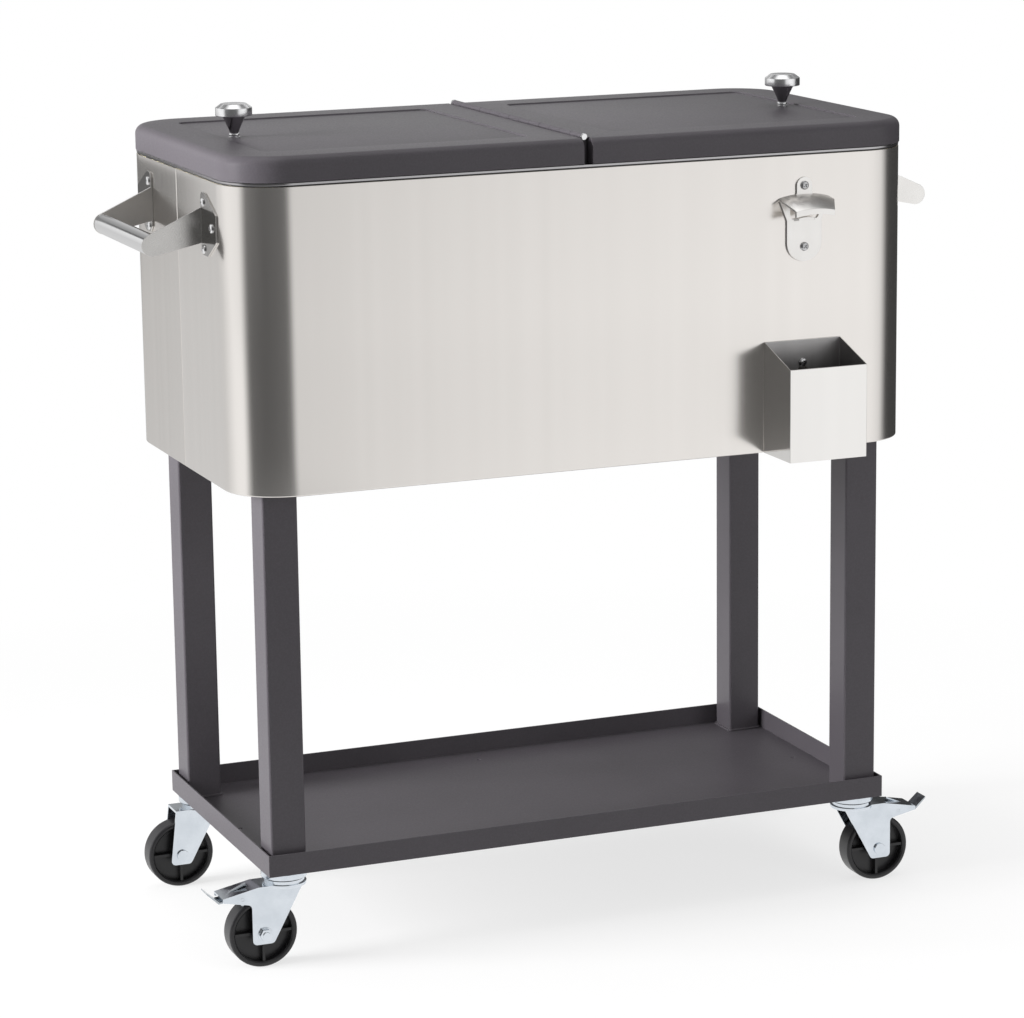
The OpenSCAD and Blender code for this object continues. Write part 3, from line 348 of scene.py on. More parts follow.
@dataclass(frozen=True)
class WorkedMetal(Finish):
    """A brushed, turned or drawn metal with fine lines one way."""

    grain: Grain = Grain.UPRIGHT
    depth: float = 0.00003
    stretch: float = 0.0
    relief: float = 0.35

    def wire(self, wiring: Wiring, shader: bpy.types.Node) -> None:
        """Lines change the colour, the roughness and the surface; the stretch blurs across them.

        Args:
            wiring: The material's wiring.
            shader: Its shader.
        """
        lines = self.use(wiring, brushed_lines(), lines_per_metre=self.grain.value)
        tone, line = wiring.spread(lines["Tone"], *WIDE_NOISE, 0.0, 1.0), lines["Line"]
        dull = wiring.spread(line, 0.25, 0.75, 0.0, 1.0)
        colour = wiring.tint(tone, self.dark, self.light)
        self.surface(wiring, shader, colour, dull, (line, self.relief, self.depth))
        shader.inputs["Metallic"].default_value = 1.0
        if self.stretch:
            shader.inputs["Anisotropic"].default_value = self.stretch
            facing = wiring.add("ShaderNodeNewGeometry").outputs["Normal"]
            # Straight up would leave a level face without a direction to stretch along.
            nearly_up = (0.0, 0.001, 1.0)
            level = wiring.vectors("CROSS_PRODUCT", "Vector", {0: nearly_up, 1: facing})
            wiring.put(shader.inputs["Tangent"], level)


@dataclass(frozen=True)
class Plated(Finish):
    """Bright zinc plating: smooth, a little cloudy, with a faint warm and cold shimmer."""

    def wire(self, wiring: Wiring, shader: bpy.types.Node) -> None:
        """Clouds change the colour and the roughness, and the edges are polished.

        Args:
            wiring: The material's wiring.
            shader: Its shader.
        """
        grain = self.use(wiring, fine_grain(), grains_per_metre=1400.0, clouds_per_metre=45.0)
        cloud = wiring.spread(grain["Cloud"], *MID_NOISE, 0.0, 1.0)
        edge = self.use(wiring, worn_edges(), width=0.0009, strength=0.7)["Mask"]
        polished, relief, depth = (0.93, 0.95, 0.97), 0.12, 0.00004
        colour = wiring.tint(edge, wiring.tint(cloud, self.dark, self.light), polished)
        self.surface(wiring, shader, colour, cloud, (grain["Height"], relief, depth))
        shader.inputs["Metallic"].default_value = 1.0


@dataclass(frozen=True)
class Coated(Finish):
    """Powder coat, rubber or moulded plastic: a dull body colour with a fine pebbled surface."""

    grains: float = 900.0
    depth: float = 0.00012
    relief: float = 0.3
    shine: float = 0.35
    edge: Colour = (0.2, 0.2, 0.21)
    wear: float = 0.5

    def wire(self, wiring: Wiring, shader: bpy.types.Node) -> None:
        """Grains lift the surface, clouds change its tone, and the edges are thinner and lighter.

        Args:
            wiring: The material's wiring.
            shader: Its shader.
        """
        grain = self.use(wiring, fine_grain(), grains_per_metre=self.grains, clouds_per_metre=9.0)
        height = grain["Height"]
        speck = wiring.spread(height, 0.55, 0.95, 0.0, 0.5)
        cloud = wiring.spread(grain["Cloud"], *WIDE_NOISE, 0.0, 0.5)
        plain = wiring.tint(wiring.maths("ADD", speck, cloud), self.dark, self.light)
        edge = self.use(wiring, worn_edges(), width=0.0012, strength=self.wear)["Mask"]
        dull = wiring.spread(height, 0.4, 1.0, 0.0, 1.0)
        self.surface(wiring, shader, wiring.tint(edge, plain, self.edge), dull,
                     (height, self.relief, self.depth))
        shader.inputs["Specular IOR Level"].default_value = self.shine


STEEL_DARK: Colour = (0.775, 0.745, 0.715)
STEEL_LIGHT: Colour = (0.805, 0.775, 0.745)
BRUSHED = WorkedMetal("brushed_stainless", "stainless", dark=STEEL_DARK, light=STEEL_LIGHT,
                      smooth=0.17, rough=0.22, grain=Grain.UPRIGHT, depth=0.000015, stretch=0.35,
                      relief=0.12)
# The rear sheet is the front sheet's stainless painted darker: painted shade on the end wall behind the
# seam.
SHADED_BRUSHED_REAR = WorkedMetal("brushed_stainless_rear", "stainless", dark=(0.69, 0.66, 0.63),
                           light=(0.76, 0.73, 0.70), smooth=0.18, rough=0.24, grain=Grain.UPRIGHT,
                           depth=0.000015, stretch=0.35, relief=0.14)
FOLDED = WorkedMetal("folded_stainless", "stainless", dark=STEEL_DARK, light=STEEL_LIGHT, smooth=0.24,
                     rough=0.36, grain=Grain.LENGTHWAYS)
SHEET = WorkedMetal("satin_sheet", "stainless", dark=(0.81, 0.795, 0.775), light=(0.84, 0.825, 0.805),
                    smooth=0.10, rough=0.15, grain=Grain.UPRIGHT, depth=0.00001, stretch=0.2,
                    relief=0.15)
# A darker copy of the catcher's sheet for its inward faces: painted shade inside the box.
SHADED_SHEET = WorkedMetal("satin_sheet_inside", "stainless", dark=(0.42, 0.41, 0.41),
                           light=(0.49, 0.48, 0.48), smooth=0.34, rough=0.42, grain=Grain.UPRIGHT,
                           depth=0.00001, relief=0.15)
SATIN = WorkedMetal("satin_cast", "stainless", dark=(0.78, 0.765, 0.745), light=(0.84, 0.825, 0.805),
                    smooth=0.26, rough=0.33, grain=Grain.CROSSWAYS, depth=0.00001, relief=0.2)
CAST = WorkedMetal("satin_stainless", "stainless", dark=(0.76, 0.745, 0.725),
                   light=(0.84, 0.825, 0.805), smooth=0.24, rough=0.32, grain=Grain.CROSSWAYS,
                   depth=0.00001, relief=0.2)
# A darker copy of the bracket's metal for the plate on the tank: painted dark reflection.
SHADED_PLATE = WorkedMetal("rolled_plate", "stainless", dark=(0.32, 0.31, 0.30), light=(0.40, 0.39, 0.375),
                    smooth=0.12, rough=0.18, grain=Grain.UPRIGHT, depth=0.00001, relief=0.2)
BRIGHT = WorkedMetal("polished_steel", "bright_steel", dark=(0.80, 0.80, 0.805),
                     light=(0.86, 0.86, 0.865), smooth=0.06, rough=0.11, grain=Grain.CROSSWAYS,
                     depth=0.00001, relief=0.2)
# A darker copy of the bright steel: painted dark reflection on the opener's screws, and painted shade on
# the race balls in their gap.
SHADED_STEEL = WorkedMetal("screw_steel", "bright_steel", dark=(0.50, 0.50, 0.505),
                    light=(0.60, 0.60, 0.605), smooth=0.08, rough=0.14, grain=Grain.CROSSWAYS,
                    depth=0.00001, relief=0.2)
TURNED = WorkedMetal("turned_steel", "bright_steel", dark=(0.80, 0.80, 0.81),
                     light=(0.93, 0.93, 0.94), smooth=0.16, rough=0.28, grain=Grain.TURNED,
                     depth=0.00003)
TRIM = WorkedMetal("trim_steel", "bright_steel", dark=(0.40, 0.39, 0.40), light=(0.50, 0.49, 0.50),
                   smooth=0.14, rough=0.22, grain=Grain.LENGTHWAYS, depth=0.00001)
ZINC = Plated("zinc_plate", "zinc", dark=(0.62, 0.665, 0.715), light=(0.69, 0.735, 0.785),
              smooth=0.10, rough=0.18)
ZINC_DARK = Plated("zinc_plate_dark", "zinc", dark=(0.40, 0.43, 0.46), light=(0.50, 0.535, 0.57),
                   smooth=0.12, rough=0.20)
COAT = Coated("charcoal_coat", "powder_coat", dark=(0.067, 0.061, 0.069), light=(0.083, 0.076, 0.086),
              smooth=0.32, rough=0.44, grains=480.0, depth=0.00010, relief=0.20, shine=0.30,
              edge=(0.15, 0.14, 0.155), wear=0.35)
STEM = WorkedMetal("dark_chrome", "powder_coat", dark=(0.34, 0.33, 0.34), light=(0.42, 0.41, 0.42),
                   smooth=0.05, rough=0.09, grain=Grain.TURNED, depth=0.00001, relief=0.1)
TYRE = Coated("moulded_black", "black_plastic", dark=(0.009, 0.009, 0.010),
              light=(0.018, 0.017, 0.019), smooth=0.26, rough=0.42, grains=1300.0, depth=0.00006,
              relief=0.20, shine=0.45, edge=(0.04, 0.04, 0.04), wear=0.35)
LINER = Coated("liner_plastic", "liner_grey", dark=(0.44, 0.45, 0.46), light=(0.52, 0.53, 0.54),
               smooth=0.38, rough=0.52, grains=700.0, depth=0.00005, relief=0.15, shine=0.5,
               edge=(0.6, 0.6, 0.61), wear=0.2)
FOAM = Coated("foam", "insulation", dark=(0.72, 0.62, 0.38), light=(0.86, 0.77, 0.52), smooth=0.8,
              rough=0.95, grains=420.0, depth=0.0008, relief=0.8, shine=0.2, edge=(0.9, 0.82, 0.6),
              wear=0.3)


def placed(name: str, data: bpy.types.ID) -> Piece:
    """Puts a new object into the scene, at the origin.

    Args:
        name: The object's name.
        data: Its mesh, lamp or camera.

    Returns:
        The new object.
    """
    obj = bpy.data.objects.new(name, data)
    bpy.context.scene.collection.objects.link(obj)
    return obj


def add_piece(name: str, mesh: Mesh, body: str, finish: Finish,
              stands_for: tuple[str, ...] = ()) -> Piece:
    """Puts a finished mesh into the scene as a piece of the cart.

    Args:
        name: The piece's name.
        mesh: Its mesh, in the frame's axes.
        body: The body that it moves with.
        finish: Its finish.
        stands_for: The frame's nodes that it replaces.

    Returns:
        The new object.
    """
    mesh.name = name
    mesh.materials.clear()
    mesh.materials.append(finish.material())
    piece = placed(name, mesh)
    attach(piece, body)
    if stands_for:
        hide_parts(*stands_for)
    log.info("%s: %d faces on %s", name, len(mesh.polygons), body)
    return piece


def body_of(node: str) -> str:
    """The body that one of the frame's nodes belongs to."""
    return frame["nodes"][node]["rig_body"]


def dress(node: str, finish: Finish) -> None:
    """Gives a node that stays as it is its finish.

    Args:
        node: The frame's node.
        finish: Its finish.
    """
    obj = frame["nodes"][node]
    if not obj.material_slots:
        obj.data.materials.append(None)
    for slot in obj.material_slots:
        slot.link = "OBJECT"
        slot.material = finish.material()
    log.info("%s: dressed in %s", node, finish.name)


def finished_mesh(form: Form, sharp: float = SHARP, turn: bool = True) -> Mesh:
    """Makes a mesh from a form, with its normals outwards and its edges sharp past an angle.

    Args:
        form: The form, which is freed.
        sharp: The angle in degrees past which an edge stays sharp.
        turn: True if the normals are to be worked out again.

    Returns:
        The mesh.
    """
    bmesh.ops.remove_doubles(form, verts=form.verts, dist=MERGE)
    if turn:
        bmesh.ops.recalc_face_normals(form, faces=form.faces)
    mesh = bpy.data.meshes.new("form")
    form.to_mesh(mesh)
    form.free()
    mesh.shade_smooth()
    mesh.set_sharp_from_angle(angle=math.radians(sharp))
    return mesh


def settled(source: Piece) -> Mesh:
    """Settles an object's modifiers.

    Args:
        source: The object, which is removed.

    Returns:
        The plain mesh that its modifiers make.
    """
    bpy.context.view_layer.update()
    graph = bpy.context.evaluated_depsgraph_get()
    mesh = bpy.data.meshes.new_from_object(source.evaluated_get(graph), depsgraph=graph)
    bpy.data.objects.remove(source)
    return mesh


def form_of(node: str) -> Form:
    """Copies a node's form and welds it.

    Args:
        node: The frame's node.

    Returns:
        The welded copy.
    """
    form = bmesh.new()
    form.from_mesh(frame["nodes"][node].data)
    bmesh.ops.remove_doubles(form, verts=form.verts, dist=WELD)
    return form


def softened_mesh(node: str, width: float, steps: int = 2, angle: float = 35.0) -> Mesh:
    """A copy of a node's form with its edges rounded.

    Args:
        node: The frame's node.
        width: How far from an edge the rounding starts.
        steps: The rounding's segments.
        angle: The angle in degrees past which an edge is rounded.

    Returns:
        The rounded mesh.
    """
    form = form_of(node)
    bmesh.ops.dissolve_limit(form, angle_limit=math.radians(LEVEL), verts=form.verts, edges=form.edges)
    mesh = finished_mesh(form, turn=False)
    source = placed("soft_" + node, mesh)
    bevel = source.modifiers.new("rounding", "BEVEL")
    bevel.width = width
    bevel.segments = steps
    bevel.limit_method = "ANGLE"
    bevel.angle_limit = math.radians(angle)
    bevel.use_clamp_overlap = True
    flat = source.modifiers.new("flat_faces", "WEIGHTED_NORMAL")
    flat.weight = FLAT_WEIGHT
    flat.keep_sharp = True
    return settled(source)


def soften(node: str, finish: Finish, width: float, steps: int = 2, angle: float = 35.0) -> Piece:
    """Replaces a node by a copy of it with rounded edges, under the finish."""
    mesh = softened_mesh(node, width, steps, angle)
    return add_piece(node + "_form", mesh, body_of(node), finish, (node,))


def repaint(piece: Piece, finish: Finish,
            chosen: Callable[[bpy.types.MeshPolygon], bool]) -> None:
    """Gives the faces of a piece that pass a test another finish.

    Args:
        piece: The piece.
        finish: The other finish.
        chosen: The test of a face.
    """
    piece.data.materials.append(finish.material())
    for face in piece.data.polygons:
        if chosen(face):
            face.material_index = len(piece.data.materials) - 1


def lofted(rings: list[list[Vector]], capped: bool = True) -> Form:
    """Joins rings of points into a skin.

    Args:
        rings: Rings of equal count, in order along the skin.
        capped: True if the first and last ring are closed by a face.

    Returns:
        The form.
    """
    form = bmesh.new()
    rows = [[form.verts.new(point) for point in ring] for ring in rings]
    count = len(rows[0])
    for low, high in zip(rows, rows[1:]):
        for i in range(count):
            j = (i + 1) % count
            form.faces.new((low[i], low[j], high[j], high[i]))
    if capped:
        form.faces.new(reversed(rows[0]))
        form.faces.new(rows[-1])
    return form


def lathed(profile: Profile, steps: int = 64, closed: bool = False) -> Form:
    """Turns a profile about the Z axis.

    Args:
        profile: Points as (radius, height). An open profile starts and ends on the axis.
        steps: How many faces go round.
        closed: True if the profile is a loop that stays off the axis.

    Returns:
        The form.
    """
    def ring(radius: float, height: float) -> list[Vector]:
        """The profile's point, carried round the axis."""
        turns = (2 * math.pi * i / steps for i in range(steps))
        return [Vector((radius * math.cos(a), radius * math.sin(a), height)) for a in turns]

    if closed:
        return lofted([ring(*point) for point in (*profile, profile[0])], capped=False)
    form = lofted([ring(*point) for point in profile if point[0] > 0], capped=False)
    form.verts.ensure_lookup_table()
    for height, row in ((profile[0][1], range(steps)),
                        (profile[-1][1], range(len(form.verts) - steps, len(form.verts)))):
        tip = form.verts.new((0.0, 0.0, height))
        form.verts.ensure_lookup_table()
        corners = [form.verts[i] for i in row]
        for i, corner in enumerate(corners):
            form.faces.new((corner, corners[(i + 1) % steps], tip))
    return form


def arc(centre: tuple[float, float], radius: float, start: float, end: float,
        steps: int = 8) -> Profile:
    """Points along a circle from one angle to another, in degrees."""
    angles = (math.radians(start + (end - start) * i / steps) for i in range(steps + 1))
    return [(centre[0] + radius * math.cos(a), centre[1] + radius * math.sin(a)) for a in angles]


@dataclass
class PathPoint:
    """A point of a level path, the way out from it and how far the swept section is drawn in there."""

    place: Vector
    outward: Vector
    draw_in: float = 0.0


def swept(path: list[PathPoint], section: Profile) -> Form:
    """Carries a closed section along an open level path.

    Args:
        path: The path's points.
        section: The section's corners as (outwards, height).

    Returns:
        The form, closed at both ends.
    """
    def ring(point: PathPoint) -> list[Vector]:
        """The section, set up at one point of the path."""
        return [Vector((*(point.place + point.outward * (out - point.draw_in)), up))
                for out, up in section]

    return lofted([ring(point) for point in path])


def rounded_ring(low: Vector, high: Vector, radii: tuple[float, float, float, float], height: float,
                 steps: int = 16) -> list[Vector]:
    """A level ring round a rectangle with rounded corners.

    Args:
        low: Its lowest X and Y.
        high: Its highest X and Y.
        radii: The corners' radii, from the +X +Y corner round by the -X +Y corner.
        height: The ring's height.
        steps: The segments of one corner.

    Returns:
        The ring's points.
    """
    signs = ((1, 1), (-1, 1), (-1, -1), (1, -1))
    points = []
    for quarter, ((sx, sy), radius) in enumerate(zip(signs, radii)):
        corner = (high.x if sx > 0 else low.x, high.y if sy > 0 else low.y)
        centre = (corner[0] - sx * radius, corner[1] - sy * radius)
        points += arc(centre, radius, 90 * quarter, 90 * quarter + 90, steps)
    return [Vector((x, y, height)) for x, y in points]


def islands(node: str) -> list[tuple[Vector, Vector]]:
    """Finds the separate solids of a node.

    Args:
        node: The frame's node.

    Returns:
        The lowest and the highest corner of each solid, from the lowest X up.
    """
    form = form_of(node)
    boxes, left = [], set(form.verts)
    while left:
        queue = [left.pop()]
        group = []
        while queue:
            vertex = queue.pop()
            group.append(vertex.co.copy())
            near = {edge.other_vert(vertex) for edge in vertex.link_edges} & left
            left -= near
            queue += near
        boxes.append((Vector([min(p[i] for p in group) for i in range(3)]),
                      Vector([max(p[i] for p in group) for i in range(3)])))
    form.free()
    return sorted(boxes, key=lambda box: tuple(box[0]))


class Repeats:
    """Geometry Nodes trees that set copies of a part on points or round a ring, or wind a thread."""

    @staticmethod
    def start(name: str, inputs: dict[str, object]) -> tuple[Wiring, dict]:
        """Starts a tree that takes a mesh, inputs of its own and a finish, and gives a mesh."""
        return effect(name, {"Geometry": "Geometry", **inputs, "Finish": "Material"}, ("Result",))

    @staticmethod
    def end(wiring: Wiring, ends: dict, made: Socket) -> Tree:
        """Ends a tree in plain geometry under the finish.

        Args:
            wiring: The tree's wiring.
            ends: Its inputs and outputs, by name.
            made: The geometry that it makes.

        Returns:
            The tree.
        """
        real = wiring.add("GeometryNodeRealizeInstances", {"Geometry": made}).outputs["Geometry"]
        coated = wiring.add("GeometryNodeSetMaterial", {"Geometry": real, "Material": ends["Finish"]})
        wiring.put(ends["Result"], coated.outputs["Geometry"])
        return wiring.tree

    @staticmethod
    def copies(wiring: Wiring, ends: dict, points: Socket, turn: Socket) -> Tree:
        """Ends a tree in copies of its part on the points, each with its turn.

        Args:
            wiring: The tree's wiring.
            ends: Its inputs and outputs, by name.
            points: The points.
            turn: The turn at each point.

        Returns:
            The tree.
        """
        part = wiring.add("GeometryNodeObjectInfo", {"Object": ends["Part"], "As Instance": True})
        made = wiring.add("GeometryNodeInstanceOnPoints", {
            "Points": points, "Instance": part.outputs["Geometry"], "Rotation": turn})
        return Repeats.end(wiring, ends, made.outputs["Instances"])

    @staticmethod
    @cache
    def on_points() -> Tree:
        """The tree that sets a part on each point of a mesh, its Z axis along the point's facing.

        Returns:
            The tree, built once.
        """
        wiring, ends = Repeats.start("parts_on_points", {"Part": "Object", "Seed": 0})
        facing = wiring.add("GeometryNodeInputNamedAttribute", {"Name": "facing"},
                            data_type="FLOAT_VECTOR")
        upright = wiring.add("FunctionNodeAlignRotationToVector", {"Vector": facing.outputs[0]}, axis="Z")
        spin = wiring.add("FunctionNodeRandomValue", {"Seed": ends["Seed"]}, data_type="FLOAT")
        floats = [socket for socket in spin.inputs if socket.type == "VALUE"]
        floats[1].default_value = 2 * math.pi
        angle = next(socket for socket in spin.outputs if socket.type == "VALUE")
        about = wiring.add("FunctionNodeAxisAngleToRotation", {"Angle": angle})
        turned = wiring.add("FunctionNodeRotateRotation", {
            "Rotation": upright.outputs[0], "Rotate By": about.outputs[0]}, rotation_space="LOCAL")
        return Repeats.copies(wiring, ends, ends["Geometry"], turned.outputs[0])

    @staticmethod
    @cache
    def round_ring() -> Tree:
        """The tree that sets a count of parts evenly round a ring about the Z axis.

        Returns:
            The tree, built once.
        """
        wiring, ends = Repeats.start("parts_round_ring", {"Part": "Object", "Count": 12, "Radius": 0.01})
        ring = wiring.add("GeometryNodeCurvePrimitiveCircle", {
            "Resolution": ends["Count"], "Radius": ends["Radius"]})
        points = wiring.add("GeometryNodeCurveToPoints", {"Curve": ring.outputs["Curve"]},
                            mode="EVALUATED")
        place = wiring.add("GeometryNodeInputPosition").outputs[0]
        outward = wiring.add("FunctionNodeAlignRotationToVector", {"Vector": place}, axis="X")
        return Repeats.copies(wiring, ends, points.outputs["Points"], outward.outputs[0])

    @staticmethod
    @cache
    def thread() -> Tree:
        """The tree that winds a ridge round the Z axis as a screw thread.

        Returns:
            The tree, built once.
        """
        wiring, ends = Repeats.start("thread_ridge", {
            "Turns": 6.0, "Radius": 0.01, "Length": 0.01, "Ridge": 0.0005})
        helix = wiring.add("GeometryNodeCurveSpiral", {
            "Resolution": 48, "Rotations": ends["Turns"], "Start Radius": ends["Radius"],
            "End Radius": ends["Radius"], "Height": ends["Length"]})
        ridge = wiring.add("GeometryNodeCurvePrimitiveCircle", {
            "Resolution": 6, "Radius": ends["Ridge"]})
        wound = wiring.add("GeometryNodeCurveToMesh", {
            "Curve": helix.outputs["Curve"], "Profile Curve": ridge.outputs["Curve"],
            "Fill Caps": True})
        return Repeats.end(wiring, ends, wound.outputs["Mesh"])

    @staticmethod
    def run(tree: Tree, finish: Finish, part: Mesh | None = None,
            base: Mesh | None = None, **values: object) -> Mesh:
        """Runs a tree.

        Args:
            tree: The tree.
            finish: The finish of what it makes.
            part: The part that it copies, if it does.
            base: The mesh that it starts from, if it needs one.
            **values: Values for its other inputs, by name.

        Returns:
            The plain mesh that it makes.
        """
        given = {label.title(): value for label, value in values.items()}
        given["Finish"] = finish.material()
        if part is not None:
            given["Part"] = placed("spare", part)
        holder = placed("holder", base if base is not None else bpy.data.meshes.new("empty"))
        modifier = holder.modifiers.new("repeats", "NODES")
        modifier.node_group = tree
        for item in tree.interface.items_tree:
            if item.item_type == "SOCKET" and item.in_out == "INPUT" and item.name in given:
                modifier[item.identifier] = given[item.name]
        holder.update_tag()
        mesh = settled(holder)
        mesh.set_sharp_from_angle(angle=math.radians(SHARP))
        if part is not None:
            bpy.data.objects.remove(given["Part"])
        return mesh


@dataclass
class PanScrew:
    """Pan-head screw with a cross recess. Its axis is Z and its head's seat is at z = 0."""

    head: float = 9.6 * MM
    height: float = 2.6 * MM
    shank: float = 4.9 * MM
    slot_width: float = 1.8 * MM
    slot_length: float = 6.2 * MM
    slot_depth: float = 2.1 * MM
    skirt_share: float = 0.28
    slot_foot: float = 0.6
    dome_steps: int = 8

    def mesh(self, length: float) -> Mesh:
        """Turns the screw and cuts its recess.

        Args:
            length: The length of its shank.

        Returns:
            The screw's mesh.
        """
        half, shank, skirt = self.head / 2, self.shank / 2, self.height * self.skirt_share
        rise = self.height - skirt
        turns = (math.pi / 2 * i / self.dome_steps for i in range(self.dome_steps))
        dome = [(half * math.cos(a), skirt + rise * math.sin(a)) for a in turns]
        profile = [(0.0, -length), (shank, -length), (shank, 0.0), (half, 0.0), *dome,
                   (0.0, self.height)]
        screw = placed("spare", finished_mesh(lathed(profile, steps=32)))
        cutters = []
        for turn in (0.0, math.pi / 2):
            form = bmesh.new()
            bmesh.ops.create_cube(form, size=1.0)
            size = (self.slot_length, self.slot_width, 2 * self.slot_depth)
            bmesh.ops.scale(form, vec=size, verts=form.verts)
            for vertex in form.verts:
                if vertex.co.z < 0:
                    vertex.co.xy *= self.slot_foot
            bmesh.ops.rotate(form, cent=(0, 0, 0), matrix=Matrix.Rotation(turn, 3, "Z"),
                             verts=form.verts)
            bmesh.ops.translate(form, vec=(0, 0, self.height), verts=form.verts)
            cutters.append(placed("spare", finished_mesh(form)))
            cut = screw.modifiers.new("slot", "BOOLEAN")
            cut.operation = "DIFFERENCE"
            cut.object = cutters[-1]
            cut.solver = "EXACT"
        mesh = settled(screw)
        for cutter in cutters:
            bpy.data.objects.remove(cutter)
        mesh.set_sharp_from_angle(angle=math.radians(SHARP))
        return mesh

    def rows(self, name: str, node: str, facing: dict[float, Vector], finish: Finish,
             seed: int) -> None:
        """Replaces a node's plain screws by detailed ones at the same places.

        Args:
            name: The piece's name.
            node: The frame's node that holds the plain screws.
            facing: The way that the heads face, for each sign of X.
            finish: The screws' finish.
            seed: The seed of the slots' turns.
        """
        places, ways, length = [], [], 0.0
        for low, high in islands(node):
            middle = (low + high) / 2
            way = facing[math.copysign(1.0, middle.x)]
            reach = Vector([h if w > 0 else l if w < 0 else m
                            for h, l, m, w in zip(high, low, middle, way)])
            places.append(reach - way * self.height)
            ways.append(way)
            length = abs((high - low).dot(way)) - self.height
        base = bpy.data.meshes.new(name)
        base.from_pydata(places, [], [])
        attribute = base.attributes.new("facing", "FLOAT_VECTOR", "POINT")
        attribute.data.foreach_set("vector", [value for way in ways for value in way])
        mesh = Repeats.run(Repeats.on_points(), finish, self.mesh(length), base, seed=seed)
        add_piece(name, mesh, body_of(node), finish, (node,))


@dataclass
class Tank:
    """The insulated tank: outer sheets with their end seams, floor panel, liner, trim and bar."""

    corner_radius: float = 62 * MM
    sheet: float = 1 * MM
    hem: float = 13 * MM
    bend: float = 1.6 * MM
    corner_steps: int = 40
    seam_depth: float = 0.6 * MM
    seam_width: float = 1.2 * MM
    bead: float = 2.8 * MM
    bead_edge: float = 0.8 * MM
    bead_depth: float = 3 * MM
    plate_inset: float = 2 * MM
    seal_inset: float = 0.9 * MM
    seal_gap: float = 0.05 * MM
    bar_edge: float = 0.25 * MM
    plate_edge: float = 0.3 * MM

    def build(self) -> None:
        """Builds and dresses the tank."""
        for way in Way:
            node = way.word + "_shell"
            mesh = finished_mesh(swept(self.path(way), self.section(node)), sharp=30.0)
            # The rear sheet takes the darker copy of the stainless, as painted shade.
            finish = BRUSHED if way is Way.FRONT else SHADED_BRUSHED_REAR
            add_piece(way.word + "_outer_sheet", mesh, CART, finish, (node,))
        self.trim()
        soften("center_bar", COAT, self.bar_edge)
        soften("bottom_panel", FOLDED, self.plate_edge)
        dress("inner_liner", LINER)
        dress("foam_insulation", FOAM)

    def outline(self, low: Vector, high: Vector, inset: float, height: float) -> list[Vector]:
        """The tank's outline, drawn in by the inset, at a height."""
        a, b = low.xy + Vector((inset, inset)), high.xy - Vector((inset, inset))
        return rounded_ring(a, b, (self.corner_radius - inset,) * 4, height, self.corner_steps)

    def trim(self) -> None:
        """The trim on the tank's mouth: its plate, a rounded bead along its edge and, below it, a dark
        strip that is painted shade in the gap.
        """
        low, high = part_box("rim_trim")
        mesh = softened_mesh("rim_trim", self.plate_edge)
        half, middle = (high - low) / 2, (high + low) / 2
        straight = half.xy - Vector((self.corner_radius, self.corner_radius))
        for vertex in mesh.vertices:
            away = vertex.co.xy - middle.xy
            past = Vector([math.copysign(max(abs(a) - s, 0.0), a) for a, s in zip(away, straight)])
            if past.length > self.corner_radius - self.sheet:
                vertex.co.xy -= past.normalized() * self.plate_inset
        add_piece("rim_plate", mesh, CART, TRIM, ("rim_trim",))
        edge, foot = self.bead_edge, high.z - self.bead
        profile = [*arc((-edge, foot + edge), edge, -90, 0, 4),
                   *arc((-edge, high.z - edge), edge, 0, 90, 4)]
        outer = [self.outline(low, high, -across, height) for across, height in profile]
        inner = [self.outline(low, high, self.bead_depth, height) for height in (high.z, foot)]
        form = lofted([*outer, *inner, outer[0]], capped=False)
        add_piece("rim_bead", finished_mesh(form), CART, TRIM)
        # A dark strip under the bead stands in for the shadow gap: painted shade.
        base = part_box("front_shell")[1].z + self.seal_gap
        corners = ((self.seal_inset, base), (self.seal_inset, foot),
                   (self.bead_depth, foot), (self.bead_depth, base))
        rings = [self.outline(low, high, inset, height) for inset, height in corners]
        form = lofted([*rings, rings[0]], capped=False)
        add_piece("rim_seal", finished_mesh(form), CART, TYRE)

    def section(self, node: str) -> Profile:
        """The sheet's upright section: its wall, the bend at its foot and the hem under the tank.

        Args:
            node: The sheet's node in the frame.

        Returns:
            The section as (outwards, height).
        """
        low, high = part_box(node)
        t, b = self.sheet, self.bend
        foot = arc((-b, low.z + b), b, 0, -90, 6)
        inner = arc((-b, low.z + b), b - t, -90, 0, 4)
        top = arc((-t / 2, high.z - t / 2), t / 2, 180, 0, 4)
        return [*foot, (-self.hem, low.z), (-self.hem, low.z + t), *inner, *top]

    def path(self, way: Way) -> list[PathPoint]:
        """The sheet's path from one end's seam round to the other's.

        Args:
            way: The side of the cart that the sheet covers.

        Returns:
            The path's points.
        """
        low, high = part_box(way.word + "_shell")
        seam = high.y if way is Way.FRONT else low.y
        face = low.y if way is Way.FRONT else high.y
        radius, lead = self.corner_radius, 2 * MM
        groove = ((0.0, self.seam_depth), (self.seam_width * 0.4, self.seam_depth / 3),
                  (self.seam_width, 0.0), (self.seam_width + lead, 0.0))
        points = []
        for side in Side:
            edge = low.x if side is Side.LEFT else high.x
            out = Vector((side.value, 0.0))
            centre = Vector((edge - side.value * radius, face - way.value * radius))
            half = [PathPoint(Vector((edge, seam + way.value * off)), out, depth)
                    for off, depth in groove]
            half.append(PathPoint(Vector((edge, centre.y - way.value * lead)), out))
            for i in range(self.corner_steps + 1):
                a = math.pi / 2 * i / self.corner_steps
                turned = Vector((side.value * math.cos(a), way.value * math.sin(a)))
                half.append(PathPoint(centre + turned * radius, turned))
            last = Vector((centre.x - side.value * lead, face))
            half.append(PathPoint(last, Vector((0.0, way.value))))
            points += half if side is Side.LEFT else reversed(half)
        return points


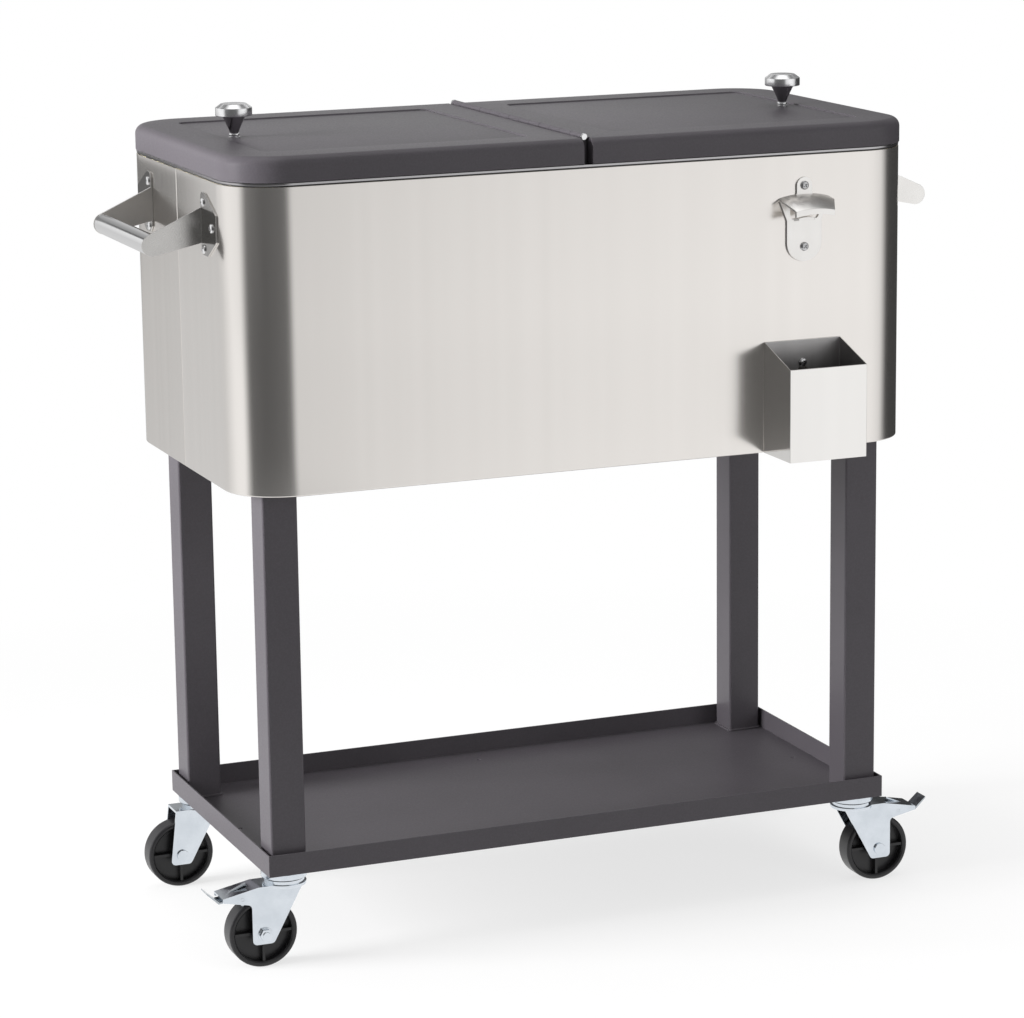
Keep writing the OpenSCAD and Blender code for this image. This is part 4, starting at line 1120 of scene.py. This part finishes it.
@dataclass
class Lid:
    """One half of the hinged lid, with its pressed panel, and what is under it."""

    side: Side
    sheet: float = 1 * MM
    corner_radius: float = 62 * MM
    roll: float = 10 * MM
    roll_steps: int = 8
    inner_edge: float = 0.9 * MM
    border: float = 50 * MM
    inner_border: float = 44 * MM
    press_depth: float = 1.5 * MM
    press_width: float = 1.6 * MM
    crease_depth: float = 2.4 * MM
    crease_width: float = 1.5 * MM
    press_radius: float = 9 * MM
    press_steps: int = 6
    liner_edge: float = 0.4 * MM

    def build(self) -> None:
        """Builds and dresses the lid."""
        word = self.side.word
        mesh = finished_mesh(self.skin(), sharp=28.0)
        add_piece(word + "_lid_skin", mesh, word + "_lid", COAT, (word + "_lid_panel",))
        soften(word + "_lid_liner", LINER, self.liner_edge)
        dress(word + "_lid_foam", FOAM)
        dress(word + "_hinge_leaf", COAT)
        Knob(self.side).build()

    def ring(self, inset: float, inner: float, radius: float, height: float,
             near: float) -> list[Vector]:
        """A level ring round the lid.

        Args:
            inset: Its distance from the lid's outer edges.
            inner: Its distance from the lid's edge at the hinge.
            radius: The radius of its outer corners.
            height: Its height.
            near: The radius of its corners at the hinge.

        Returns:
            The ring's points.
        """
        low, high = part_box(self.side.word + "_lid_panel")
        if self.side is Side.RIGHT:
            a, b = Vector((low.x + inner, low.y + inset)), Vector((high.x - inset, high.y - inset))
            radii = (radius, near, near, radius)
        else:
            a, b = Vector((low.x + inset, low.y + inset)), Vector((high.x - inner, high.y - inset))
            radii = (near, radius, radius, near)
        return rounded_ring(a, b, radii, height)

    def skin(self) -> Form:
        """The lid's sheet: outer skirt, rolled edge, top and pressed panel, and its inside.

        Returns:
            The closed form.
        """
        low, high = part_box(self.side.word + "_lid_panel")
        outside = self.side_rings(0.0, low.z, high.z)
        inside = self.side_rings(self.sheet, low.z, high.z)
        return lofted([*reversed(inside), *outside])

    def side_rings(self, inset: float, low: float, high: float) -> list[list[Vector]]:
        """One face of the sheet, from its lower edge to the middle of its pressed panel.

        Args:
            inset: How far the face lies inside the sheet's outer one.
            low: The height of its lower edge.
            high: The height of the sheet's top.

        Returns:
            The rings of the face.
        """
        roll, top = self.roll - inset, high - inset
        rings = [self.ring(inset, inset, self.corner_radius - inset, low, self.inner_edge)]
        for i in range(self.roll_steps + 1):
            a = math.pi / 2 * i / self.roll_steps
            drawn = roll * (1 - math.cos(a))
            nearer = self.inner_edge * (1 - math.cos(a))
            rings.append(self.ring(inset + drawn, inset + nearer, self.corner_radius - inset - drawn,
                                   top - roll + roll * math.sin(a), self.inner_edge))
        steps = self.press_steps
        slope = [(1 - math.cos(math.pi * i / steps)) / 2 for i in range(steps + 1)]
        lift = self.crease_depth - self.press_depth
        fall = [(self.press_width * (i / steps - 1), self.crease_depth * share)
                for i, share in enumerate(slope)]
        rise = [(self.crease_width * i / steps, self.crease_depth - lift * share)
                for i, share in enumerate(slope)]
        for across, sink in (*fall, *rise[1:]):
            rings.append(self.ring(self.border + across, self.inner_border + across,
                                   self.press_radius - across, top - sink, self.press_radius - across))
        return rings


@dataclass
class Knob:
    """The knob on a lid: a bright foot on a washer, a dark flared stem and a turned bright cap."""

    side: Side
    edge: float = 0.9 * MM
    cap_height: float = 13 * MM
    crown_height: float = 4.2 * MM
    crown_share: float = 0.71
    washer: float = 6.2 * MM
    washer_height: float = 0.8 * MM
    foot: float = 5.9 * MM
    foot_height: float = 4.2 * MM
    neck: float = 4.6 * MM
    flare_power: float = 1.08
    flare_steps: int = 8

    def build(self) -> None:
        """Builds and dresses the knob."""
        word = self.side.word
        body = word + "_lid"
        low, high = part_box(word + "_knob_cap")
        middle = (low + high) / 2
        for name, profile, finish in (("cap", self.cap(word), TURNED), ("stem", self.stem(word), STEM),
                                      ("foot", self.foot_ring(word), BRIGHT)):
            form = lathed(profile, steps=72)
            bmesh.ops.translate(form, vec=(middle.x, middle.y, 0.0), verts=form.verts)
            node = f"{word}_knob_{name}"
            stands_for = (node,) if node in frame["nodes"] else ()
            add_piece(node + "_turned", finished_mesh(form, sharp=40.0), body, finish, stands_for)
        dress(word + "_knob_screw", ZINC)

    def seat(self, word: str) -> float:
        """The height of the pressed panel that the knob stands on."""
        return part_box(word + "_lid_panel")[1].z - Lid.press_depth

    def cap(self, word: str) -> Profile:
        """The cap's profile: a small lower edge, a straight band, a bevelled crown and a flat top.

        Args:
            word: The side's name.

        Returns:
            The profile as (radius, height).
        """
        low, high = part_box(word + "_knob_cap")
        half, base, e = (high.x - low.x) / 2, high.z - self.cap_height, self.edge
        band, flat = high.z - self.crown_height, half * self.crown_share
        lower = arc((half - e, base + e), e, -90, 0, 5)
        shoulder = [(half, band - e / 2), (half - e / 6, band), (half - e / 2, band + e / 4)]
        bevel = [(flat + e / 2, high.z - e / 2), (flat, high.z - e / 6), (flat - e / 2, high.z)]
        return [(0.0, base), *lower, *shoulder, *bevel, (0.0, high.z)]

    def stem(self, word: str) -> Profile:
        """The stem's profile: a neck and a flare that meets the cap's underside.

        Args:
            word: The side's name.

        Returns:
            The profile as (radius, height).
        """
        low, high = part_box(word + "_knob_stem")
        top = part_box(word + "_knob_cap")[1].z - self.cap_height
        half, start = (high.x - low.x) / 2, self.seat(word) + self.washer_height + self.foot_height
        shares = [i / self.flare_steps for i in range(self.flare_steps + 1)]
        flare = [(self.neck + (half - self.neck) * share ** self.flare_power,
                  start + (top - start) * share) for share in shares]
        return [(0.0, start), *flare, (0.0, top)]

    def foot_ring(self, word: str) -> Profile:
        """The foot's profile: a thin washer and a rounded ring on it.

        Args:
            word: The side's name.

        Returns:
            The profile as (radius, height).
        """
        seat, r = self.seat(word), self.foot_height / 2
        rim = seat + self.washer_height
        ring = arc((self.foot - r, rim + r), r, -70, 90, 8)
        return [(0.0, seat), (self.washer, seat), (self.washer, rim), *ring,
                (0.0, rim + self.foot_height)]


@dataclass
class Hinge:
    """The rod between the lids. The knuckles belong to the bar and the leaves."""

    head_edge: float = 1.2 * MM

    def build(self) -> None:
        """Builds and dresses the rod."""
        soften("hinge_rod", BRIGHT, self.head_edge, steps=3, angle=50.0)


@dataclass
class Fittings:
    """What is fastened to the tank's walls: handles, opener and cap catcher."""

    bracket_edge: float = 0.45 * MM
    plate_reach: float = 3 * MM
    opener_edge: float = 0.7 * MM
    catcher_edge: float = 0.45 * MM

    def build(self) -> None:
        """Builds and dresses the fittings."""
        for side in Side:
            dress(side.word + "_handle_bar", BRIGHT)
            for way in Way:
                self.bracket(f"{side.word}_{way.word}_bracket")
        soften("bottle_opener", SATIN, self.opener_edge, steps=3, angle=30.0)
        low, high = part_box("cap_catcher")
        # The catcher's inward faces take the darker copy of its sheet, as painted shade.
        repaint(soften("cap_catcher", SHEET, self.catcher_edge), SHADED_SHEET,
                lambda face: ((low + high) / 2 - face.center).dot(face.normal) > 0)
        screw = PanScrew()
        screw.rows("handle_pan_screws", "handle_screws",
                   {-1.0: Vector((-1, 0, 0)), 1.0: Vector((1, 0, 0))}, BRIGHT, seed=11)
        # The opener's screws take the darker copy of the bright steel, as painted dark reflection.
        screw.rows("front_pan_screws", "front_screws", {1.0: Vector((0, -1, 0))}, SHADED_STEEL, seed=4)

    def bracket(self, node: str) -> None:
        """Rounds a bracket, and paints the plate that lies on the tank darker, as a painted dark
        reflection.

        Args:
            node: The bracket's node in the frame.
        """
        wall = min(abs(corner.x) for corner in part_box(node))
        # The plate's faces against the wall take the darker copy: painted dark reflection.
        repaint(soften(node, CAST, self.bracket_edge), SHADED_PLATE,
                lambda face: abs(face.center.x) - wall < self.plate_reach and abs(face.normal.x) > 0.9)


@dataclass
class Stand:
    """The legs and the shelf tray."""

    leg_edge: float = 0.3 * MM
    tray_edge: float = 0.9 * MM
    bolt_edge: float = 0.3 * MM

    def build(self) -> None:
        """Builds and dresses the legs and the tray."""
        for side in Side:
            for way in Way:
                soften(f"{side.word}_{way.word}_leg", COAT, self.leg_edge)
        soften("shelf_tray", COAT, self.tray_edge, steps=3)
        soften("leg_bolts", ZINC, self.bolt_edge)
        soften("caster_nuts", ZINC, self.bolt_edge)


@dataclass
class Caster:
    """A swivel caster: its raceway, fork, wheel and axle, and a pedal on the front ones."""

    side: Side
    way: Way
    ball: float = 6.4 * MM
    ball_count: int = 16
    ball_ring: float = 17 * MM
    head_edge: float = 1.1 * MM
    fork_edge: float = 0.5 * MM
    wheel_edge: float = 0.8 * MM
    pedal_edge: float = 0.4 * MM

    def build(self) -> None:
        """Builds and dresses the caster."""
        word = f"{self.side.word}_{self.way.word}"
        soften(word + "_caster_mount", ZINC, self.head_edge, steps=3)
        soften(word + "_fork", ZINC, self.fork_edge)
        soften(word + "_wheel", TYRE, self.wheel_edge, steps=3)
        soften(word + "_axle", ZINC, self.fork_edge)
        if self.way is Way.FRONT:
            soften(self.side.word + "_brake_pedal", ZINC_DARK, self.pedal_edge)
        self.balls(word)

    def balls(self, word: str) -> None:
        """The balls between the fork's raceway and the cup above it.

        Args:
            word: The caster's corner, as its nodes spell it.
        """
        cup_low, cup_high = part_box(word + "_caster_mount")
        race_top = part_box(word + "_fork")[1].z
        middle = (cup_low + cup_high) / 2
        form = bmesh.new()
        bmesh.ops.create_icosphere(form, subdivisions=2, radius=self.ball / 2)
        # The balls take the darker copy of the bright steel, as painted shade in the gap under the cup.
        mesh = Repeats.run(Repeats.round_ring(), SHADED_STEEL, finished_mesh(form, sharp=60.0),
                           count=self.ball_count, radius=self.ball_ring)
        mesh.transform(Matrix.Translation((middle.x, middle.y, race_top + self.ball / 2)))
        add_piece(word + "_race_balls", mesh, CART, SHADED_STEEL)


@dataclass
class Drain:
    """The drain under the tank: threaded fitting, nut and ribbed cap."""

    pitch: float = 1.8 * MM
    ridge: float = 0.45 * MM
    pipe: float = 22 * MM
    rib_count: int = 24
    rib: float = 1.6 * MM
    rib_margin: float = 1.5 * MM
    fitting_edge: float = 0.5 * MM
    nut_edge: float = 0.6 * MM
    cap_edge: float = 0.7 * MM

    def build(self) -> None:
        """Builds and dresses the drain."""
        soften("drain_fitting", BRIGHT, self.fitting_edge)
        soften("drain_nut", BRIGHT, self.nut_edge)
        soften("drain_cap", TYRE, self.cap_edge, steps=3)
        self.thread()
        self.ribs()

    def thread(self) -> None:
        """The ridge of the thread that shows between the cap and the nut."""
        low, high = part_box("drain_cap")
        start, end = high.z + self.ridge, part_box("drain_nut")[0].z - self.ridge
        mesh = Repeats.run(Repeats.thread(), BRIGHT, turns=(end - start) / self.pitch,
                           radius=self.pipe / 2, length=end - start, ridge=self.ridge)
        mesh.transform(Matrix.Translation(((low.x + high.x) / 2, (low.y + high.y) / 2, start)))
        add_piece("drain_thread", mesh, body_of("drain_fitting"), BRIGHT)

    def ribs(self) -> None:
        """The grip ribs round the cap."""
        low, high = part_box("drain_cap")
        half, r = (high.z - low.z) / 2 - self.rib_margin, self.rib / 2
        upper = [(r, half - r / 2), (r / 2, half), (0.0, half)]
        profile = [*((across, -up) for across, up in reversed(upper)), *upper]
        mesh = Repeats.run(Repeats.round_ring(), TYRE, finished_mesh(lathed(profile, steps=12)),
                           count=self.rib_count, radius=(high.x - low.x) / 2)
        mesh.transform(Matrix.Translation((low + high) / 2))
        add_piece("drain_cap_ribs", mesh, body_of("drain_cap"), TYRE)


@dataclass
class Studio:
    """The plain pale floor, the soft lamps, the cards that metal reflects, and the camera.

    A card row is a distance from the cart's middle and a height. A card stop is an azimuth in
    degrees, from the front round by the left, and how bright each row is there.
    """

    ambient: float = 0.5
    floor_reach: float = 40.0
    floor_white: float = 0.93
    floor_bounce: float = 0.45
    floor_glow: float = 0.72
    shadow_reach: tuple[float, float] = (0.5, 1.5)
    ceiling: float = 0.22
    ceiling_span: tuple[float, float, float, float] = (0.55, 0.75, 0.86, 0.93)
    zenith: float = 1.35
    zenith_span: tuple[float, float] = (0.90, 0.95)
    card_rows: tuple[tuple[float, float], ...] = (
        (1.0, 0.004), (1.5, 0.004), (2.3, 0.004), (2.3, 0.26),
        (2.3, 0.45), (2.3, 0.62), (2.3, 1.5), (2.3, 2.4))
    card_stops: tuple[tuple[float, ...], ...] = (
        (-158, 1.0, 0.3, 0.05, 0.05, 0.05, 0.2, 0.8, 0.3),
        (-135, 1.0, 0.3, 0.05, 0.05, 0.05, 0.05, 0.3, 0.22),
        (-76, 1.0, 0.3, 0.05, 0.05, 0.05, 0.05, 0.05, 0.22),
        (-62, 1.0, 0.9, 0.85, 0.85, 0.85, 0.85, 0.9, 0.5),
        (-44, 1.0, 1.02, 1.02, 1.02, 1.02, 1.02, 1.0, 0.5),
        (-30, 1.0, 1.02, 1.02, 1.02, 1.02, 1.05, 1.0, 0.5),
        (-8, 1.0, 0.9, 0.84, 0.84, 0.84, 0.86, 0.8, 0.3),
        (3, 1.0, 0.22, 0.15, 0.15, 0.15, 0.15, 0.15, 0.22),
        (45, 1.0, 0.18, 0.11, 0.11, 0.11, 0.11, 0.12, 0.22),
        (74, 1.0, 0.2, 0.13, 0.13, 0.13, 0.13, 0.2, 0.22),
        (86, 1.0, 1.1, 1.12, 1.12, 1.1, 1.0, 1.0, 0.5),
        (106, 1.0, 1.0, 1.02, 1.02, 1.02, 1.02, 1.0, 0.5),
        (132, 0.8, 0.76, 0.72, 0.72, 0.72, 0.72, 1.0, 0.8),
        (155, 0.8, 0.74, 0.70, 0.68, 0.68, 0.66, 1.0, 0.8),
        (157, 0.8, 0.74, 0.70, 0.68, 0.66, 0.5, 0.04, 0.04),
        (159.5, 0.8, 0.74, 0.70, 0.68, 0.66, 0.5, 0.04, 0.04),
        (161, 0.8, 0.74, 0.70, 0.68, 0.6, 0.4, 0.3, 0.3),
        (186, 0.8, 0.7, 0.66, 0.60, 0.45, 0.35, 0.6, 0.25),
        (202, 1.0, 0.3, 0.05, 0.05, 0.05, 0.2, 0.8, 0.3))
    flag_low: Place = (-0.505, 0.30, 0.772)
    flag_high: Place = (-0.395, 0.30, 0.838)
    flag_tone: float = 0.24
    focal_px: float = 3671.6
    picture_px: float = 1024.0
    sensor: float = 36.0
    yaw: float = 21.766
    pitch: float = 12.365
    roll: float = 0.746
    eye: Place = (-1.5032, -3.7051, 1.3190)
    far: float = 100.0

    def build(self) -> None:
        """Builds the studio."""
        self.sky()
        self.floor()
        self.cards()
        self.lamps()
        self.camera()

    @staticmethod
    def rays(wiring: Wiring, *kinds: str) -> Socket:
        """Tells rays of some kinds from the others.

        Args:
            wiring: The wiring of a material or the world.
            *kinds: The kinds, such as Camera or Glossy.

        Returns:
            1 for rays of any of the kinds, and else 0.
        """
        outputs = wiring.add("ShaderNodeLightPath").outputs
        share = outputs[f"Is {kinds[0]} Ray"]
        for kind in kinds[1:]:
            share = wiring.maths("MAXIMUM", share, outputs[f"Is {kind} Ray"])
        return share

    @staticmethod
    def bare_material(name: str, mesh: Mesh) -> tuple[Wiring, Socket]:
        """Gives a mesh a material with nothing but its output.

        Args:
            name: The material's name.
            mesh: The mesh.

        Returns:
            The material's wiring, and the surface socket of its output.
        """
        material = bpy.data.materials.new(name)
        material.use_nodes = True
        nodes = material.node_tree.nodes
        nodes.remove(nodes["Principled BSDF"])
        mesh.materials.clear()
        mesh.materials.append(material)
        return Wiring(material.node_tree), nodes["Material Output"].inputs["Surface"]

    def sky(self) -> None:
        """A white world that lights the cart softly."""
        world = bpy.data.worlds.new("studio")
        bpy.context.scene.world = world
        world.use_nodes = True
        wiring = Wiring(world.node_tree)
        background = world.node_tree.nodes["Background"]
        background.inputs["Color"].default_value = (1.0, 1.0, 1.0, 1.0)
        seen = self.rays(wiring, "Camera", "Glossy", "Transmission")
        glossy = self.rays(wiring, "Glossy")
        strength = wiring.spread(seen, 0.0, 1.0, self.ambient, 1.0)
        height = wiring.add("ShaderNodeSeparateXYZ", {0: wiring.place("Generated")}).outputs["Z"]
        start, full, fade, end = self.ceiling_span
        overhead = wiring.maths("MULTIPLY", wiring.spread(height, start, full, 0.0, 1.0),
                                wiring.spread(height, fade, end, 1.0, 0.0))
        dimmed = wiring.spread(wiring.maths("MULTIPLY", overhead, glossy), 0.0, 1.0, 1.0, self.ceiling)
        top = wiring.maths("MULTIPLY", wiring.spread(height, *self.zenith_span, 0.0, 1.0), glossy)
        lifted = wiring.spread(top, 0.0, 1.0, 1.0, self.zenith)
        toned = wiring.maths("MULTIPLY", dimmed, lifted)
        wiring.put(background.inputs["Strength"], wiring.maths("MULTIPLY", strength, toned))

    def floor(self) -> None:
        """A white floor that keeps the cart's shadow near it."""
        form = bmesh.new()
        bmesh.ops.create_circle(form, cap_ends=True, segments=64, radius=self.floor_reach)
        floor = placed("floor", finished_mesh(form))
        wiring, surface = self.bare_material("studio_floor", floor.data)
        glow = wiring.add("ShaderNodeEmission", {"Strength": 1.0}).outputs[0]
        away = wiring.vectors("LENGTH", "Value", {0: wiring.place()})
        camera = self.rays(wiring, "Camera")
        white = wiring.tint(camera, (self.floor_bounce,) * 3, (self.floor_white,) * 3)
        matt = wiring.add("ShaderNodeBsdfDiffuse", {"Color": white}).outputs[0]
        near = wiring.spread(away, *self.shadow_reach, self.floor_glow, 1.0)
        share = wiring.maths("MAXIMUM", wiring.maths("MULTIPLY", near, camera),
                             self.rays(wiring, "Glossy", "Transmission"))
        mixed = wiring.add("ShaderNodeMixShader", {0: share, 1: matt, 2: glow})
        wiring.put(surface, mixed.outputs[0])

    def cards(self) -> None:
        """A wall round the cart, dark and bright by turns, and a flag: only reflections show them."""
        points, shades, faces = [], [], []
        rows = len(self.card_rows)
        for azimuth, *tones in self.card_stops:
            a = math.radians(azimuth)
            points += [(-math.sin(a) * away, -math.cos(a) * away, z) for away, z in self.card_rows]
            shades += tones
        for i in range(len(self.card_stops) - 1):
            for j in range(rows - 1):
                a = i * rows + j
                faces.append((a, a + rows, a + rows + 1, a + 1))
        (x0, y0, z0), (x1, y1, z1) = self.flag_low, self.flag_high
        first = len(points)
        points += [(x0, y0, z0), (x1, y1, z0), (x1, y1, z1), (x0, y0, z1)]
        shades += [self.flag_tone] * 4
        faces.append(tuple(range(first, first + 4)))
        mesh = bpy.data.meshes.new("reflection_cards")
        mesh.from_pydata(points, [], faces)
        mesh.attributes.new("shade", "FLOAT", "POINT").data.foreach_set("value", shades)
        card = placed("reflection_cards", mesh)
        wiring, surface = self.bare_material("reflection_cards", mesh)
        shade = wiring.add("ShaderNodeAttribute", attribute_name="shade").outputs["Fac"]
        wiring.put(surface, wiring.add("ShaderNodeEmission", {"Strength": shade}).outputs[0])
        for rays in ("camera", "diffuse", "shadow", "transmission"):
            setattr(card, "visible_" + rays, False)

    def lamps(self) -> None:
        """Soft lamps from the left and above."""
        for name, place, aim, size, watts, spread in (
            ("left_lamp", (-2.9, 0.2, 1.2), (0.0, 0.0, 0.95), 1.3, 46.0, 80.0),
            ("top_lamp", (0.5, 0.6, 3.2), (0.0, 0.0, 0.6), 2.2, 26.0, 180.0),
            ("right_lamp", (1.7, -2.8, 1.0), (0.15, 0.0, 0.4), 1.2, 18.0, 180.0),
        ):
            data = bpy.data.lights.new(name, "AREA")
            data.shape = "SQUARE"
            data.size = size
            data.energy = watts
            data.spread = math.radians(spread)
            lamp = placed(name, data)
            lamp.location = place
            lamp.rotation_euler = (Vector(aim) - Vector(place)).to_track_quat("-Z", "Y").to_euler()
            lamp.visible_glossy = False

    def camera(self) -> None:
        """The camera at the photograph's angle."""
        yaw, pitch, roll = (math.radians(a) for a in (self.yaw, self.pitch, self.roll))
        level = Vector((math.sin(yaw), math.cos(yaw), 0.0)) * math.cos(pitch)
        ahead = level - Vector((0.0, 0.0, math.sin(pitch)))
        right = Vector((math.cos(yaw), -math.sin(yaw), 0.0))
        down = ahead.cross(right)
        across = right * math.cos(roll) + down * math.sin(roll)
        below = down * math.cos(roll) - right * math.sin(roll)
        data = bpy.data.cameras.new("camera")
        data.sensor_width = self.sensor
        data.lens = self.focal_px * self.sensor / self.picture_px
        data.clip_end = self.far
        camera = placed("camera", data)
        turn = Matrix((across, -below, -ahead)).transposed().to_4x4()
        camera.matrix_world = Matrix.Translation(self.eye) @ turn
        bpy.context.scene.camera = camera


def main() -> None:
    """Dresses the cart, piece by piece, and sets up its studio."""
    logging.basicConfig(level=logging.INFO, format="%(message)s")
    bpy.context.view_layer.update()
    bpy.context.scene.view_settings.view_transform = "Standard"
    Tank().build()
    for side in Side:
        Lid(side).build()
    Hinge().build()
    Fittings().build()
    Stand().build()
    for side in Side:
        for way in Way:
            Caster(side, way).build()
    Drain().build()
    Studio().build()


if __name__ == "__main__":
    main()
